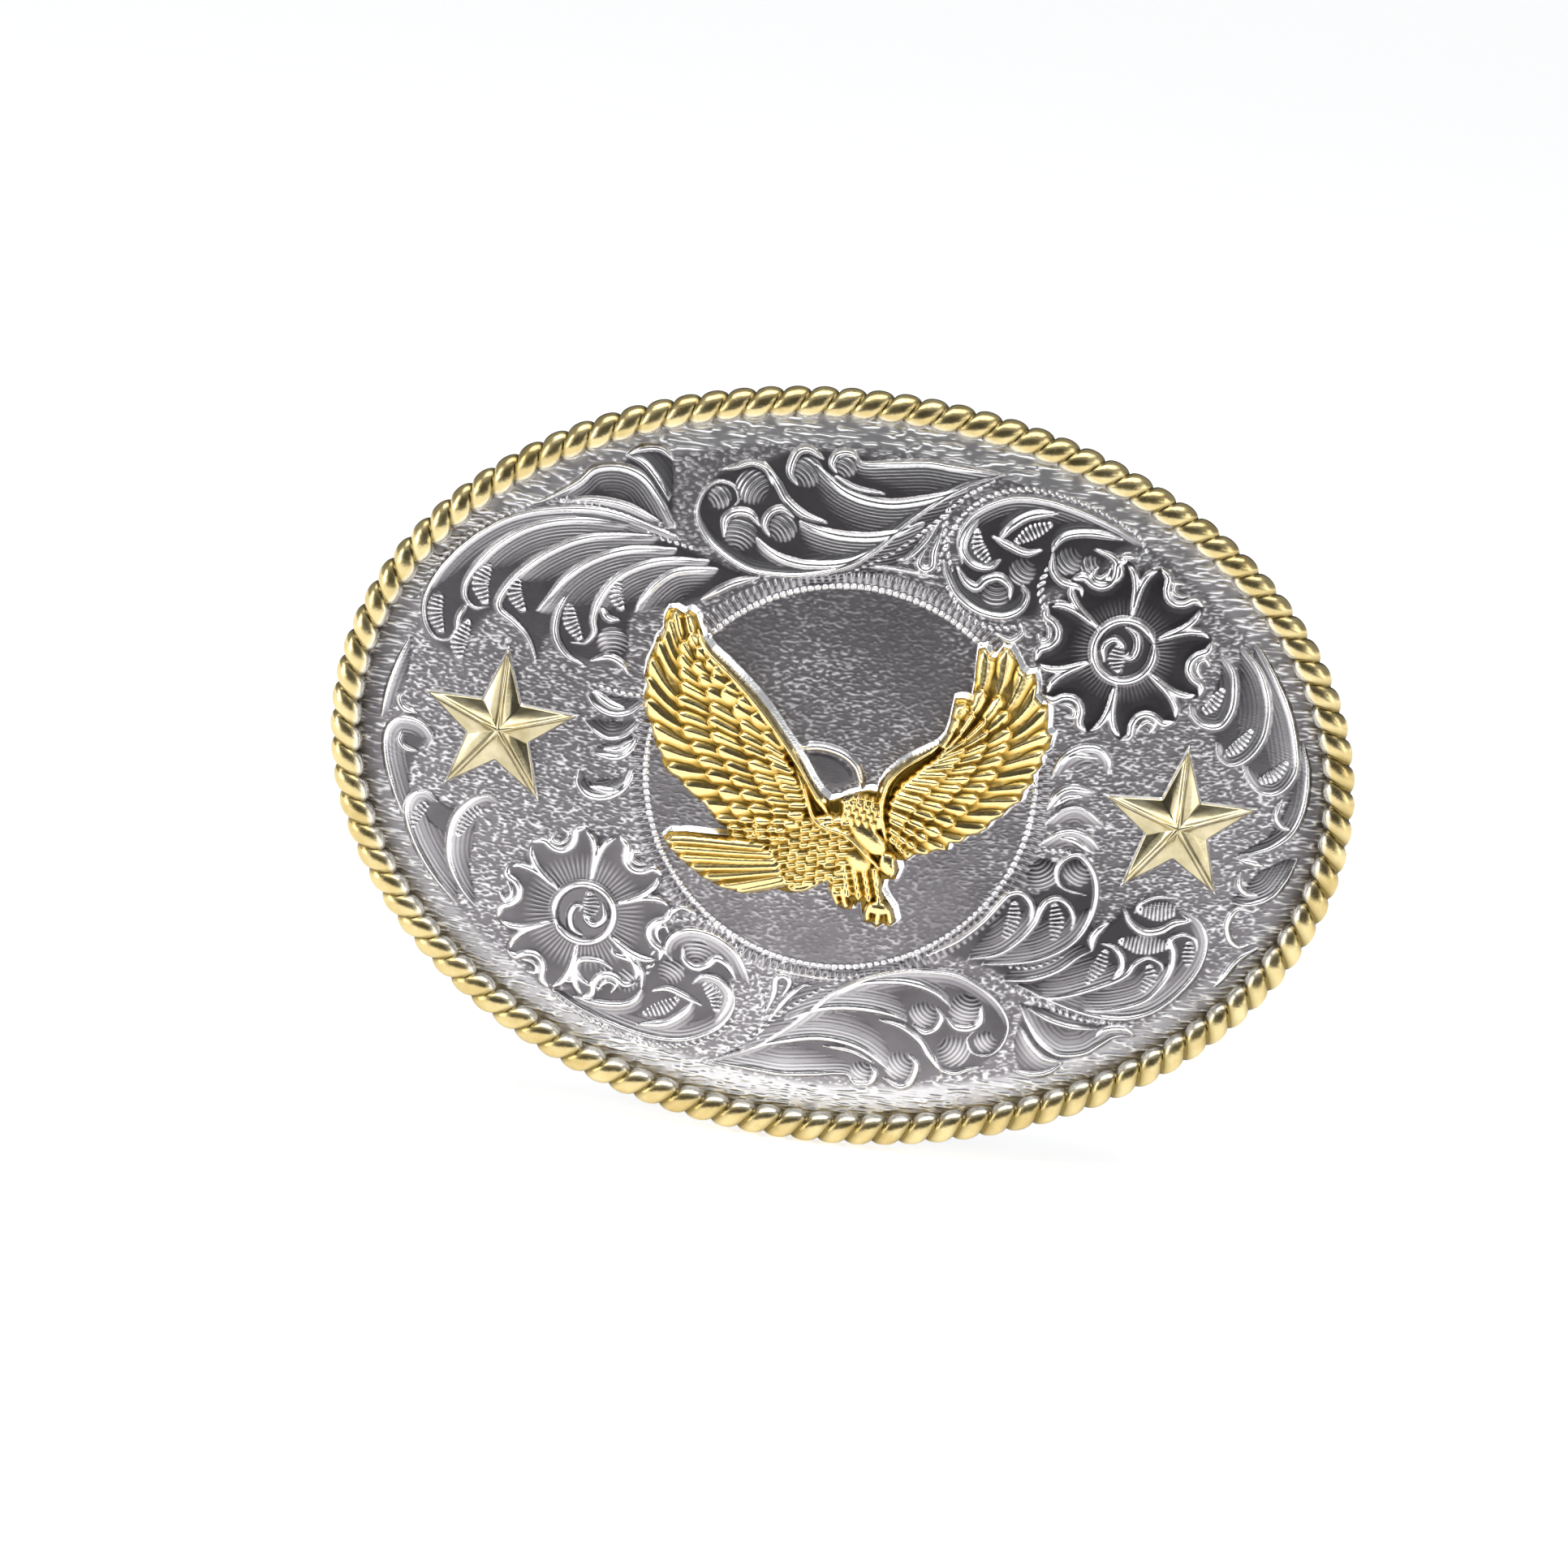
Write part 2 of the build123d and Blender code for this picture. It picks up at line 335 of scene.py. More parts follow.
def inside_distance(outline, x, z):
    """Distance to a closed outline, positive inside it."""
    closed = np.vstack([outline, outline[:1]])
    distance = np.abs(measure(closed, x, z)[0])
    inside = np.zeros(x.shape, bool)
    for (ax, az), (bx, bz) in zip(closed[:-1], closed[1:]):
        crosses = (az > z) != (bz > z)
        rise = bz - az if bz != az else 1.0
        inside ^= crosses & (x < ax + (z - az) / rise * (bx - ax))
    return np.where(inside, distance, -distance)


def swell(t, taper):
    """1 along the middle of a stroke, falling to 0 at its two ends."""
    return np.clip(np.minimum(t, 1 - t) / taper, 0, 1) ** 0.6


def ridge(relief, points, half_width=0.42, taper=0.3, height=RIDGE_HEIGHT):
    """A rounded, tapering ridge, with a painted highlight along its crest."""
    path = smooth(points) + relief.shift
    part, x, z = relief.window(path, half_width)
    distance, t, _ = measure(path, x, z)
    full = swell(t, taper)
    u = np.abs(distance) / (half_width * full + 1e-6)
    profile = np.where(u < 1, height * (0.35 + 0.65 * full) * np.clip(1 - u**2, 0, 1) ** 0.7, 0)
    # Painted highlight: lightest along the crest, darker down the flanks
    relief.lay(part, profile, 0.94 - 0.42 * np.clip(u, 0, 1) ** 2)


def leaf(relief, points, width, half_width=0.42, body=1.0):
    """A long leaf: a ridge and a hatched body that falls away from it.

    The body lies on the path's right, or on its left if width is negative, and covers a share of the path.
    """
    path = smooth(points) + relief.shift
    part, x, z = relief.window(path, abs(width))
    distance, t, _ = measure(path, x, z)
    across = -distance * np.sign(width)
    share = np.clip(t / body, 0, 1)
    u = across / (abs(width) * swell(share, 0.45) + 1e-6)
    hatch = HATCH_DEPTH * np.cos(2 * np.pi * across / HATCH_PITCH)
    fall = np.clip(u, 0, 1)
    slope = RIDGE_HEIGHT * (0.16 + 0.5 * (1 - fall) ** 1.5) + hatch
    # Painted shade: the body darkens away from the ridge, with painted light and dark streaks along the
    # hatching
    streaks = 0.09 * np.cos(1.4 * np.pi * across / HATCH_PITCH)
    relief.lay(part, np.where((u > 0) & (u < 1) & (share < 1), slope, 0), 0.54 - 0.4 * fall + streaks)
    ridge(relief, points, half_width)


def hollow(relief, points, polish_and_painted_light=0.12):
    """A smooth valley inside an outline, with no stipple, darkened with painted shade."""
    outline = smooth(points + points[:1]) + relief.shift
    part, x, z = relief.window(outline, 0)
    inside = inside_distance(outline, x, z)
    relief.lay(part, VALLEY * np.clip(inside / VALLEY_EDGE, 0, 1), polish_and_painted_light)


def ladder(relief, points, half_width=0.7, pitch=0.46, height=0.42, lean=0.0):
    """A row of short bars across a path, like rungs."""
    path = smooth(points) + relief.shift
    part, x, z = relief.window(path, half_width)
    distance, t, length = measure(path, x, z)
    full = half_width * (0.45 + 0.55 * np.sin(np.pi * t))
    u = np.clip(np.abs(distance) / full, 0, 1)
    wave = np.cos(2 * np.pi * (t * length + lean * distance) / pitch)
    bars = height * np.sqrt(1 - u**2) * (0.45 + 0.55 * wave)
    relief.lay(part, np.where(u < 1, bars, 0), 0.55 + 0.45 * wave)


def beads(relief, points, half_width=0.24):
    """A line of slanting dashes."""
    ladder(relief, points, half_width, BEAD_PITCH, BEAD_HEIGHT, BEAD_LEAN)


def shell(relief, x, z, radius, turn):
    """The round end of a scroll, with arcs cut across it that open in the direction turn, in degrees."""
    part, dx, dz = relief.around(x, z, radius)
    u = np.clip(np.hypot(dx, dz) / radius, 0, 1)
    open_x, open_z = heading(turn)
    arcs = np.hypot(dx - 1.3 * radius * open_x, dz - 1.3 * radius * open_z)
    cuts = np.cos(2 * np.pi * arcs / SHELL_PITCH)
    away = (dx * open_x + dz * open_z) / radius
    body = SHELL_HEIGHT * (1 - u**2) ** 0.8 * (0.75 - 0.25 * away) + 0.045 * cuts
    # Painted shade: darker on the side the arcs open to and towards the edge, with painted highlights along
    # the cut arcs
    relief.lay(part, np.where(u < 1, body, 0), 0.45 - 0.2 * away + 0.2 * cuts - 0.3 * u**2)


def draw(relief, tool, *rows):
    """Use a tool once for each row, which is either the tool's arguments or a path alone."""
    for row in rows:
        tool(relief, *(row if isinstance(row, tuple) else (row,)))


def value_noise(shape, cell, random):
    """Smooth random values between 0 and 1, one free value to each cell of that many samples."""
    rows = shape[0] / cell[0]
    columns = shape[1] / cell[1]
    grid = random.random((int(rows) + 3, int(columns) + 3))
    i = np.arange(shape[0]) / cell[0]
    j = np.arange(shape[1]) / cell[1]
    return between(grid, i[:, None], j[None, :])


# ---------------------------------------------------------------- meshes

def mesh_object(name, points, quads, caps=(), crease=None):
    """A smooth-shaded mesh from points in millimetres, quads and any larger closing faces.

    Edges that turn by more than the crease, in degrees, stay sharp.
    """
    mesh = bpy.data.meshes.new(name)
    corners = np.concatenate([np.asarray(quads).ravel(), *[np.asarray(c) for c in caps]])
    sizes = np.concatenate([np.full(len(quads), 4), [len(c) for c in caps]]).astype(int)
    starts = np.concatenate([[0], np.cumsum(sizes)[:-1]])
    mesh.vertices.add(len(points))
    mesh.vertices.foreach_set("co", (np.asarray(points) * MM).astype(np.float32).ravel())
    mesh.loops.add(len(corners))
    mesh.loops.foreach_set("vertex_index", corners.astype(np.int32))
    mesh.polygons.add(len(sizes))
    mesh.polygons.foreach_set("loop_start", starts.astype(np.int32))
    mesh.update(calc_edges=True)
    mesh.validate()
    mesh.shade_smooth()
    if crease:
        mesh.set_sharp_from_angle(angle=math.radians(crease))
    item = bpy.data.objects.new(name, mesh)
    bpy.context.scene.collection.objects.link(item)
    return item


def set_attribute(item, name, values):
    """A number for each of the mesh's points, for its material to read."""
    attribute = item.data.attributes.new(name, "FLOAT", "POINT")
    attribute.data.foreach_set("value", np.asarray(values, np.float32))


def on_sphere(x, z, radius):
    """Points of a layer's sphere, in front of the wearer."""
    return np.stack([x, REAR_RADIUS - np.sqrt(radius**2 - x**2 - z**2), z], axis=-1)


def disc_grid(count):
    """A square grid of points bent into a disc of radius 1, with even cells."""
    u = np.linspace(-1, 1, count)
    a, b = np.meshgrid(u, u, indexing="ij")
    wide = np.abs(a) > np.abs(b)
    radius = np.where(wide, a, b)
    other = np.where(wide, b, a)
    turn = np.pi / 4 * other / np.where(radius == 0, 1, radius)
    angle = np.where(wide, turn, np.pi / 2 - turn)
    return radius * np.cos(angle), radius * np.sin(angle)


def grid_quads(rows, columns, wrap_rows=False, wrap_columns=False):
    """The quads of a grid of points numbered row by row."""
    i = np.arange(rows if wrap_rows else rows - 1)[:, None]
    j = np.arange(columns if wrap_columns else columns - 1)[None, :]
    i_next = (i + 1) % rows
    j_next = (j + 1) % columns
    corners = [i * columns + j, i * columns + j_next, i_next * columns + j_next, i_next * columns + j]
    return np.stack([np.broadcast_to(c, (i.size, j.size)) for c in corners], -1).reshape(-1, 4)


# ---------------------------------------------------------------- the engraved face

def bottom_fan(relief):
    """The fan of hatched leaves below the middle, from a point near the lower left."""
    draw(relief, hollow,
        [(-10, -33.6), (-6, -31.4), (-3, -29), (0, -26.2), (2.5, -23.7), (5.5, -21.9), (9, -20.7),
         (12, -20.3), (15, -20.4), (18, -21.6), (20, -23.3), (21.2, -25.5), (20.8, -28), (19.5, -30),
         (17.5, -31), (14.8, -32), (12, -33.4), (7, -34), (2, -33.6), (-4, -33.8)])
    draw(relief, leaf,
        ([(-9.5, -33.6), (-5, -33.7), (-2, -33.8), (1.5, -33.3), (4.6, -32.9), (5.6, -33.8)], -3.4, 0.36),
        ([(-6.5, -32), (-3.5, -30.5), (0.5, -29.3), (3.5, -29.2), (6, -29.8), (8, -31), (9.5, -32.2)], -3.8,
         0.5),
        ([(-2.4, -27.8), (0.5, -26.2), (3, -25.5), (6, -25.3), (8.5, -25.6), (10.3, -26.2)], -4.2, 0.5),
        ([(2, -24.6), (5, -22.6), (8.5, -21.9), (11, -22), (13, -22.7), (14.6, -23.9)], -2.2, 0.45),
        ([(-10, -33.6), (-6, -31.7), (-3, -29.5), (0, -26.6), (2.5, -23.9), (5.5, -22), (9, -20.8),
         (12, -20.4), (15, -20.5), (18, -21.8), (20, -23.5), (21, -25.5), (20.6, -27.7), (19.3, -29),
         (17.6, -28.8), (16.9, -27.4), (17.8, -26.2)], 2.2, 0.26, 0.82))
    draw(relief, ridge,
        ([(2, -30.1), (5, -30.3), (7.5, -31.3)], 0.25),
        ([(7.5, -26.4), (10, -26.9), (12, -28.2), (13, -29.5), (14.8, -31.7)], 0.4),
        ([(5, -33.1), (6, -33.8), (7.4, -33.5), (7.8, -32.4), (7.2, -31.6)], 0.4),
        [(8.7, -32.8), (10.4, -33.6), (11.6, -33), (12, -31), (11, -29.8)],
        ([(11, -26.5), (12.3, -27.2), (13.5, -26.6), (13.9, -25.3), (13.2, -24.2)], 0.38),
        ([(14.3, -25.1), (15.5, -26.2), (17, -26.2), (18, -25.3), (17.9, -23.5)], 0.45),
        ([(13.6, -29.5), (14.5, -31), (16, -31.4), (17.5, -30.8), (19, -30.3)], 0.3),
        ([(-3.9, -27.8), (-2.6, -25.5), (-1.1, -23.8), (-0.2, -23.6)], 0.35),
        ([(-4.4, -27), (-3.9, -25), (-3.9, -23.4), (-3.1, -22.9), (-2.4, -23.6), (-3, -25.2)], 0.4),
        ([(-4.6, -22.3), (0, -22.6), (2.5, -22.5)], 0.2))
    draw(relief, shell, (6.3, -32.4, 1.3, 60), (10.2, -31.2, 1.7, 50), (12, -25.2, 1.6, 50),
         (16.3, -24, 1.9, 80), (15.6, -28.9, 1.9, 150), (18.9, -27.4, 1.3, 40))
    draw(relief, beads,
        [(-9, -32.8), (-6, -30.6), (-4, -28.3), (-2, -26.3), (1, -23.8), (4.5, -21.7)],
        [(-5, -31), (-4.6, -28), (-5.1, -25.5), (-6, -23)])


def right_fan(relief):
    """The fan of scroll-ended leaves between the ring and the lower right edge."""
    draw(relief, hollow,
        [(11, -18.8), (14.5, -16.3), (18, -12), (19.5, -10.7), (21.5, -10.4), (23, -8.5), (24.4, -6.2),
         (26.5, -6.5), (28, -10), (28, -13.2), (29.5, -12.8), (31, -11), (34.5, -9.4), (37, -10.7),
         (39.5, -12.5), (40.2, -14.5), (39.6, -17.5), (37.8, -20.4), (35, -22.6), (30, -23.4), (25, -22.4),
         (20, -20.4), (15, -19)],
        [(21.5, -22.6), (26, -23.6), (30, -24.2), (32.5, -24.4), (31, -26.2), (29, -27.8), (27, -29),
         (25.5, -30.4), (22.3, -30.4), (21.8, -27)])
    draw(relief, leaf,
        ([(15.5, -18.6), (18.5, -17.6), (20.5, -15.9), (21.8, -14), (22.3, -12.4), (22.9, -11.3),
         (24, -10.9), (25.2, -11.6), (25.9, -13), (25.7, -14.6)], -3.6, 0.38, 0.62),
        ([(17, -19), (20.5, -18.4), (23.5, -17.4), (26.2, -15.4), (27.6, -12.7), (27.9, -10), (27.2, -7.6),
         (25.6, -6), (24.2, -6.4), (23.4, -7.7), (23.7, -9.2), (24.8, -9.9), (26.8, -10.2)], -4.4, 0.36,
         0.5),
        ([(19.4, -20.5), (22.5, -19.9), (25, -18.7), (26.9, -17), (28.3, -16.2)], -2.8),
        ([(22.5, -22), (26, -21.5), (30.5, -19.6), (32.3, -18.4), (33, -17.2), (34.3, -16.4), (35.7, -16.9),
         (36.1, -17.8)], -4.2, 0.4, 0.7),
        ([(27, -22.9), (31, -22.5), (34.3, -21.3), (35.9, -19.6), (36.9, -17.5), (36.9, -15.6),
         (36.4, -14.2), (37.6, -13.5), (39, -14), (39.4, -15.4)], -4.4, 0.4, 0.65),
        ([(21, -20.8), (25, -22.2), (29, -23.2), (32.5, -23.3), (35.5, -22.3), (38, -20), (39.8, -17),
         (40.2, -14), (39, -11.8), (37, -10.8)], -3.0, 0.36),
        ([(22.5, -23.2), (25, -24.3), (27.5, -24.8), (30, -24.8)], -1.4, 0.36),
        ([(21.6, -23), (23, -25.3), (24.5, -27), (26.5, -28), (29, -27.6), (30.5, -26.5), (32, -25.4),
         (34, -25.2)], -3.2, 0.4),
        ([(22, -25.4), (23.4, -27.4), (25, -28.6), (27, -28.8)], 2.2, 0.36))
    draw(relief, ridge,
        ([(11, -18.8), (12.5, -17.8), (14.5, -16.3), (16.5, -14.2), (18, -12), (18.8, -11), (20, -10.7),
         (21.1, -11.6), (21.5, -13), (21, -14.6)], 0.38, 0.2),
        ([(28.3, -16.2), (28.2, -14.8), (28.8, -13.7), (29.6, -13)], 0.5),
        ([(29.2, -15.3), (30.6, -15.6), (31.5, -16.6), (31.7, -17.9), (30.8, -19.1), (30, -19.4)], 0.4),
        ([(31, -11.2), (31.9, -12.7), (33.5, -13.6), (35.2, -13.3), (36.5, -12.4), (38, -11.9),
         (37.2, -11.3)], 0.5),
        ([(32.2, -11.6), (32.8, -10.4), (34.4, -9.6), (36.4, -9.6)], 0.3),
        ([(30, -25.6), (31, -24.7), (32.8, -24.4), (34.2, -25.1)], 0.45),
        ([(27, -28.8), (25.8, -30), (24, -30.6), (22, -30.4)], 0.4))
    draw(relief, ladder,
        ([(19.5, -12), (19.6, -13.8), (19, -15.9)], 0.8),
        ([(23.7, -11.7), (24.2, -13.6), (24.1, -15.4)], 0.8),
        ([(29.7, -16.2), (29.2, -18), (28.4, -19.6)], 0.8),
        ([(34.6, -17.4), (34.9, -18.6), (34.2, -20.2)], 0.8),
        [(38.4, -14.4), (38.6, -16.8)],
        ([(32.9, -11.3), (34.6, -11.2), (36.5, -11)], 1.1, 0.42),
        ([(31.4, -14.9), (33.6, -15), (36, -14.9)], 1.1, 0.42))
    draw(relief, shell, (25.6, -7.9, 1.6, 60), (22, -8.5, 1.8, 120))
    draw(relief, beads,
        [(18.5, -20.2), (21.5, -21.7), (25, -22.9), (28.5, -23.9), (33, -24)],
        [(20, -18.9), (22.5, -18.6), (25.5, -17)])


def left_fan(relief):
    """The wider fan at the upper left, drawn as it looks with the buckle turned by half a turn."""
    draw(relief, hollow,
        [(11, -18.9), (16.6, -15.4), (20, -14), (23.5, -12.8), (23.5, -8), (26, -7), (30, -7.4), (32, -9),
         (33, -6.2), (35, -9.2), (38, -10.6), (40, -8), (40.6, -5.2), (43, -5.8), (45.4, -7.6),
         (45.8, -10.5), (45, -14), (42.6, -17.6), (39.5, -20.4), (35, -22.2), (30, -23), (24, -22.4),
         (17, -20.4)],
        [(20.4, -22.4), (26, -23.6), (31, -24.2), (33.6, -23.8), (31.4, -26), (29.6, -27.6), (27, -28.6),
         (25.5, -30.4), (22.3, -30.4), (21, -27)])
    draw(relief, leaf,
        ([(15.5, -19.1), (19.5, -18.3), (21.5, -16.8), (22.8, -14.9), (23.4, -13.4)], -3.0, 0.4),
        ([(16.5, -19.8), (21, -19.2), (24, -18), (26, -16.4), (27.3, -14.2), (27.7, -12), (27.4, -10.6),
         (28.2, -9.4), (29.6, -9.2)], -3.8, 0.38, 0.75),
        ([(20, -20.5), (25, -19.7), (28.5, -18.1), (31, -15.9), (32.6, -13.4), (33.6, -11.9)], -5.0, 0.4),
        ([(22, -21.6), (29, -20.4), (33, -18.3), (36, -15.5), (37.6, -12.9), (37.6, -11.4), (36, -10.4),
         (34.4, -9.1), (33.4, -7.4), (33, -6.2)], -4.4, 0.4, 0.6),
        ([(25, -22.4), (31, -21.9), (35.5, -20.4), (39, -17.6), (41.2, -14.2), (41.4, -12.2), (40.2, -11.1),
         (38.8, -11.5)], -4.2, 0.4, 0.75),
        ([(20, -21.7), (27, -23.2), (32, -22.9), (37, -21.4), (41, -18.6), (44, -15), (45.5, -11.5),
         (45.3, -9), (44, -7.3), (42.4, -7.4), (41.7, -8.8)], -3.6, 0.36, 0.78),
        ([(22, -23), (26, -24.2), (30, -24.2), (32.4, -23.4)], -1.4, 0.32),
        ([(20.5, -22.8), (22.5, -25.5), (24.5, -27.4), (27, -28), (29.5, -27.4), (31, -25.8), (32.7, -24.5),
         (34.5, -23.3), (36, -22.7)], -3.4, 0.42, 0.8),
        ([(21.5, -25.4), (23, -27.4), (24.6, -28.8), (26.4, -29.3)], 2.2, 0.36))
    draw(relief, ridge,
        [(11.2, -18.9), (14, -17.7), (16.8, -15.7)],
        ([(28, -7), (30, -7.8), (31.4, -9.6), (31.5, -12), (30.6, -14.4)], 0.36),
        [(23.3, -6.8), (24.1, -7.8), (25.6, -8.3), (27.4, -7.6)],
        ([(25, -12.3), (26.2, -12.3), (27, -13.4)], 0.36),
        ([(41, -11.4), (41.7, -10), (41.8, -8.4)], 0.3),
        ([(26.4, -29.3), (25, -30.2), (23, -30.5), (21.6, -29.6)], 0.4))
    draw(relief, ladder,
        ([(25, -13.6), (25.7, -15), (25.5, -16.6)], 0.8),
        ([(28.9, -9.8), (30, -11.4), (30.3, -13)], 0.8),
        ([(35.2, -11.8), (36.2, -13.4), (36.2, -15.2)], 0.8),
        ([(39.2, -12), (39.9, -13.8), (39.3, -15.8)], 0.9),
        ([(41.2, -5.8), (41.4, -7.4), (40.8, -9.4)], 0.9),
        ([(43.5, -8.2), (44.3, -10), (44.1, -12)], 0.85))
    draw(relief, shell, (25.4, -9.9, 1.7, 100))
    draw(relief, beads,
        [(18.5, -20.8), (22.5, -21.6), (25, -22.9), (29, -23.7), (33, -23.6)],
        [(35, -23), (39, -20.9), (42.5, -18), (45, -14.6), (46.3, -11)])


def ring_side(relief):
    """The crescents between the ring and the right star."""
    draw(relief, leaf,
        ([(21.6, 2.9), (22.3, 5), (24, 6.4), (26, 6.6), (27.3, 5.5), (27.4, 4)], 2.0),
        ([(21.6, -0.4), (22.4, 1.2), (23.8, 2.1), (26.4, 2)], 2.2),
        ([(21.6, -2), (23, -0.4), (24.6, 0.2), (26, -0.2), (27.6, -1.4)], 2.0, 0.26),
        ([(21.4, -4.2), (23, -2.8), (24.8, -2.4), (26.5, -3), (27.6, -4.1)], 2.2, 0.36))
    draw(relief, ridge,
        [(22.3, 4.5), (23.6, 5.7), (26, 5.6)],
        ([(22.2, 0), (23.5, 1.1), (25.1, 1.4)], 0.4),
        ([(23.3, -3.2), (25, -3.4), (26.9, -4.5)], 0.45))
    draw(relief, beads,
        [(21.3, -4.8), (24, -4.7), (27, -5.2)])


def right_edge(relief):
    """The leaves that hang down between the right star and the rope."""
    draw(relief, hollow,
        [(39, 17.4), (41, 18.4), (43.2, 16), (45.2, 12.6), (46.5, 9), (46.8, 6.4), (45.8, 4.4), (44.3, 3.5),
         (42.4, 3.8), (40.4, 6.2), (38.3, 7), (36.8, 9.8), (35.2, 11.6), (38.2, 13.6)],
        [(46.9, 9.5), (48.1, 6), (48.2, 2), (47, -0.6), (44.4, -2.5), (45.2, 0.6), (46, 3)])
    draw(relief, leaf,
        ([(37, 18), (38.5, 16.2), (39, 14), (38.9, 12), (38, 10.4), (36.4, 10.2), (35, 11), (34.4, 12.4)],
         2.6),
        ([(39, 19), (41.3, 16.5), (42.6, 13.5), (42.8, 10.5), (42.2, 8.5), (41, 7), (39.5, 6.4),
         (38.2, 7.2), (37.8, 8.7)], 3.6),
        ([(40.5, 19.5), (43, 16), (45, 12.5), (46.2, 9), (46.6, 6.5), (45.8, 4.6), (44.5, 3.7), (42.8, 3.9),
         (41.5, 5.2), (40.8, 6.6)], 3.6),
        ([(46.9, 9.5), (47.9, 6.5), (48.1, 3.5), (47.8, 1.3), (47, -0.5), (45.3, -2), (43.4, -2.8),
         (41.8, -3.3)], 1.8, 0.38),
        ([(48.2, -3), (47.2, -5.5), (46, -7.3), (44, -8.3), (41.8, -8.4)], 3.2, 0.4))
    draw(relief, ridge,
        ([(45.6, 3.2), (45.2, 1.4), (46, 0.3), (47, 0.1)], 0.34),
        ([(42, -3.6), (43.4, -3.8), (44.8, -4.1)], 0.4),
        ([(42.3, -5), (42.4, -6.4), (43.3, -7.2), (44.6, -7.3)], 0.36),
        ([(44.4, -9.2), (42.6, -9), (41.8, -10.7), (42.3, -12.4), (43.4, -13.1), (44.6, -12.7)], 0.38),
        ([(45.5, -13), (43.5, -14.5), (42.3, -16.5), (41.5, -17.7)], 0.4))
    draw(relief, ladder,
        [(37.6, 14.1), (36.9, 12.6), (35.9, 11.6)],
        ([(41.2, 10.1), (40.3, 8.6), (38.9, 7.4)], 0.75),
        ([(45.4, 7.1), (44.5, 5.8), (42.9, 4.9)], 0.75))


def left_edge(relief):
    """The leaves between the left star and the rope, drawn as they look with the buckle turned round."""
    draw(relief, hollow,
        [(38.2, 18.8), (39.6, 18.8), (42, 16.6), (44.4, 12.6), (44.8, 9.6), (42.4, 9), (40, 10), (38, 9.2),
         (36.4, 8.6), (38.6, 11.4), (39.4, 14)],
        [(45, 12), (46.6, 9), (47.8, 6), (48, 3.4), (47, 1.8), (45, 1.6), (43, 2.8), (44.4, 6)])
    draw(relief, leaf,
        ([(36.4, 20.6), (38.2, 18.6), (39.6, 16), (39.9, 13.3), (39.4, 11), (38, 9.2), (36.4, 8.4),
         (35, 9)], 2.6),
        ([(38.5, 20.6), (41.6, 17.4), (43.8, 14.2), (44.8, 11.4), (44.2, 9.6), (42.8, 9.2), (41.6, 10)],
         3.4, 0.4),
        ([(44.6, 13), (46.4, 9.4), (47.6, 6.2), (47.9, 3.6), (47, 2), (45.3, 1.7), (43.8, 2.2), (42.9, 3.4),
         (43.4, 4.6)], 2.6, 0.38),
        ([(48.6, 2), (48.3, -1), (47.6, -4), (46.6, -6.8)], 1.6, 0.3))
    draw(relief, ridge,
        ([(44.4, 5), (45.6, 4.9), (46.4, 4.1), (46.2, 3.1)], 0.34),
        ([(44.9, 1), (46.4, 0.7), (47, -0.4), (46.2, -1.2)], 0.4))
    draw(relief, ladder,
        ([(39, 13), (38.3, 11.1), (37, 9.8)], 0.8),
        [(43.9, 13), (43.6, 11.6), (42.7, 10.4)])


def flower_frame(relief):
    """The scrolls above and to the left of the upper flower."""
    draw(relief, hollow,
        [(8.4, 24), (7.7, 26.2), (8.1, 28), (9.5, 29.7), (12.5, 31.2), (16, 31.5), (20, 30.8), (24, 29.5),
         (27, 28), (24.5, 26.5), (21.5, 22), (18, 22), (17, 19), (13.5, 18.8), (10.8, 19.1), (8.4, 20.6),
         (6.9, 22.8)])
    draw(relief, leaf,
        ([(8.6, 24), (7.9, 26), (8.2, 27.7), (9.5, 29.5), (12.5, 31.1), (16, 31.4), (20, 30.7), (24, 29.4),
         (27, 28)], 2.2, 0.3),
        ([(12.2, 26.8), (13.2, 28.4), (15, 29.7), (17.8, 30.3)], -1.8, 0.5),
        ([(17.7, 26.3), (18.4, 27.6), (19.6, 28.3), (22, 28.6), (24.8, 28.3)], -1.8),
        ([(9.6, 28.8), (8.6, 27), (8.5, 25.3), (9.7, 24), (11.5, 23.8), (12.5, 24.8)], -1.8, 0.36),
        ([(6.6, 24), (7.2, 22.6), (8.5, 20.7), (10.8, 19.3), (13.5, 19), (15.3, 20), (15.8, 21.6),
         (15, 22.6)], -2.4, 0.4))
    draw(relief, ridge,
        ([(11.3, 27.1), (13, 26.4), (15, 25.8), (16.6, 26.3)], 0.4),
        [(17.8, 26.2), (18, 24.5), (19.1, 23.3), (21, 22.9), (21.4, 22)],
        [(22, 27), (24, 26.4), (25, 25.2), (24.5, 24.1), (22.5, 23.9), (20.9, 24.6)],
        ([(24.9, 26.6), (26.5, 26.6)], 0.34),
        ([(8.1, 23.6), (9.2, 22.2), (10.4, 21.7), (11.3, 22.6), (12.6, 23), (13.8, 22.2), (14, 20.9)], 0.5),
        ([(13, 17.2), (14.6, 16.6), (15.8, 17.6), (15.4, 18.5)], 0.34))
    draw(relief, ladder,
        ([(9.7, 27.3), (10, 25.8), (11.3, 24.4)], 0.8),
        ([(14, 26.9), (15.2, 27.9), (17, 28.9)], 0.8))
    draw(relief, shell, (21.8, 25.3, 1.1, 30), (19.6, 25.5, 1.5, 50), (12.4, 21, 1.6, 90),
         (14.9, 23.9, 1.5, 60))
    draw(relief, beads,
        [(6.3, 23), (6.4, 25), (7.9, 28.6), (10.5, 31), (14, 32.2), (18, 32), (22, 30.9), (26, 29.1),
         (27.6, 27.2)],
        [(7.4, 21.3), (9.5, 18.9), (12.4, 17.7), (15.4, 18.2)],
        ([(17.4, 24.4), (17, 22.4), (17.6, 20.4)], 0.4))


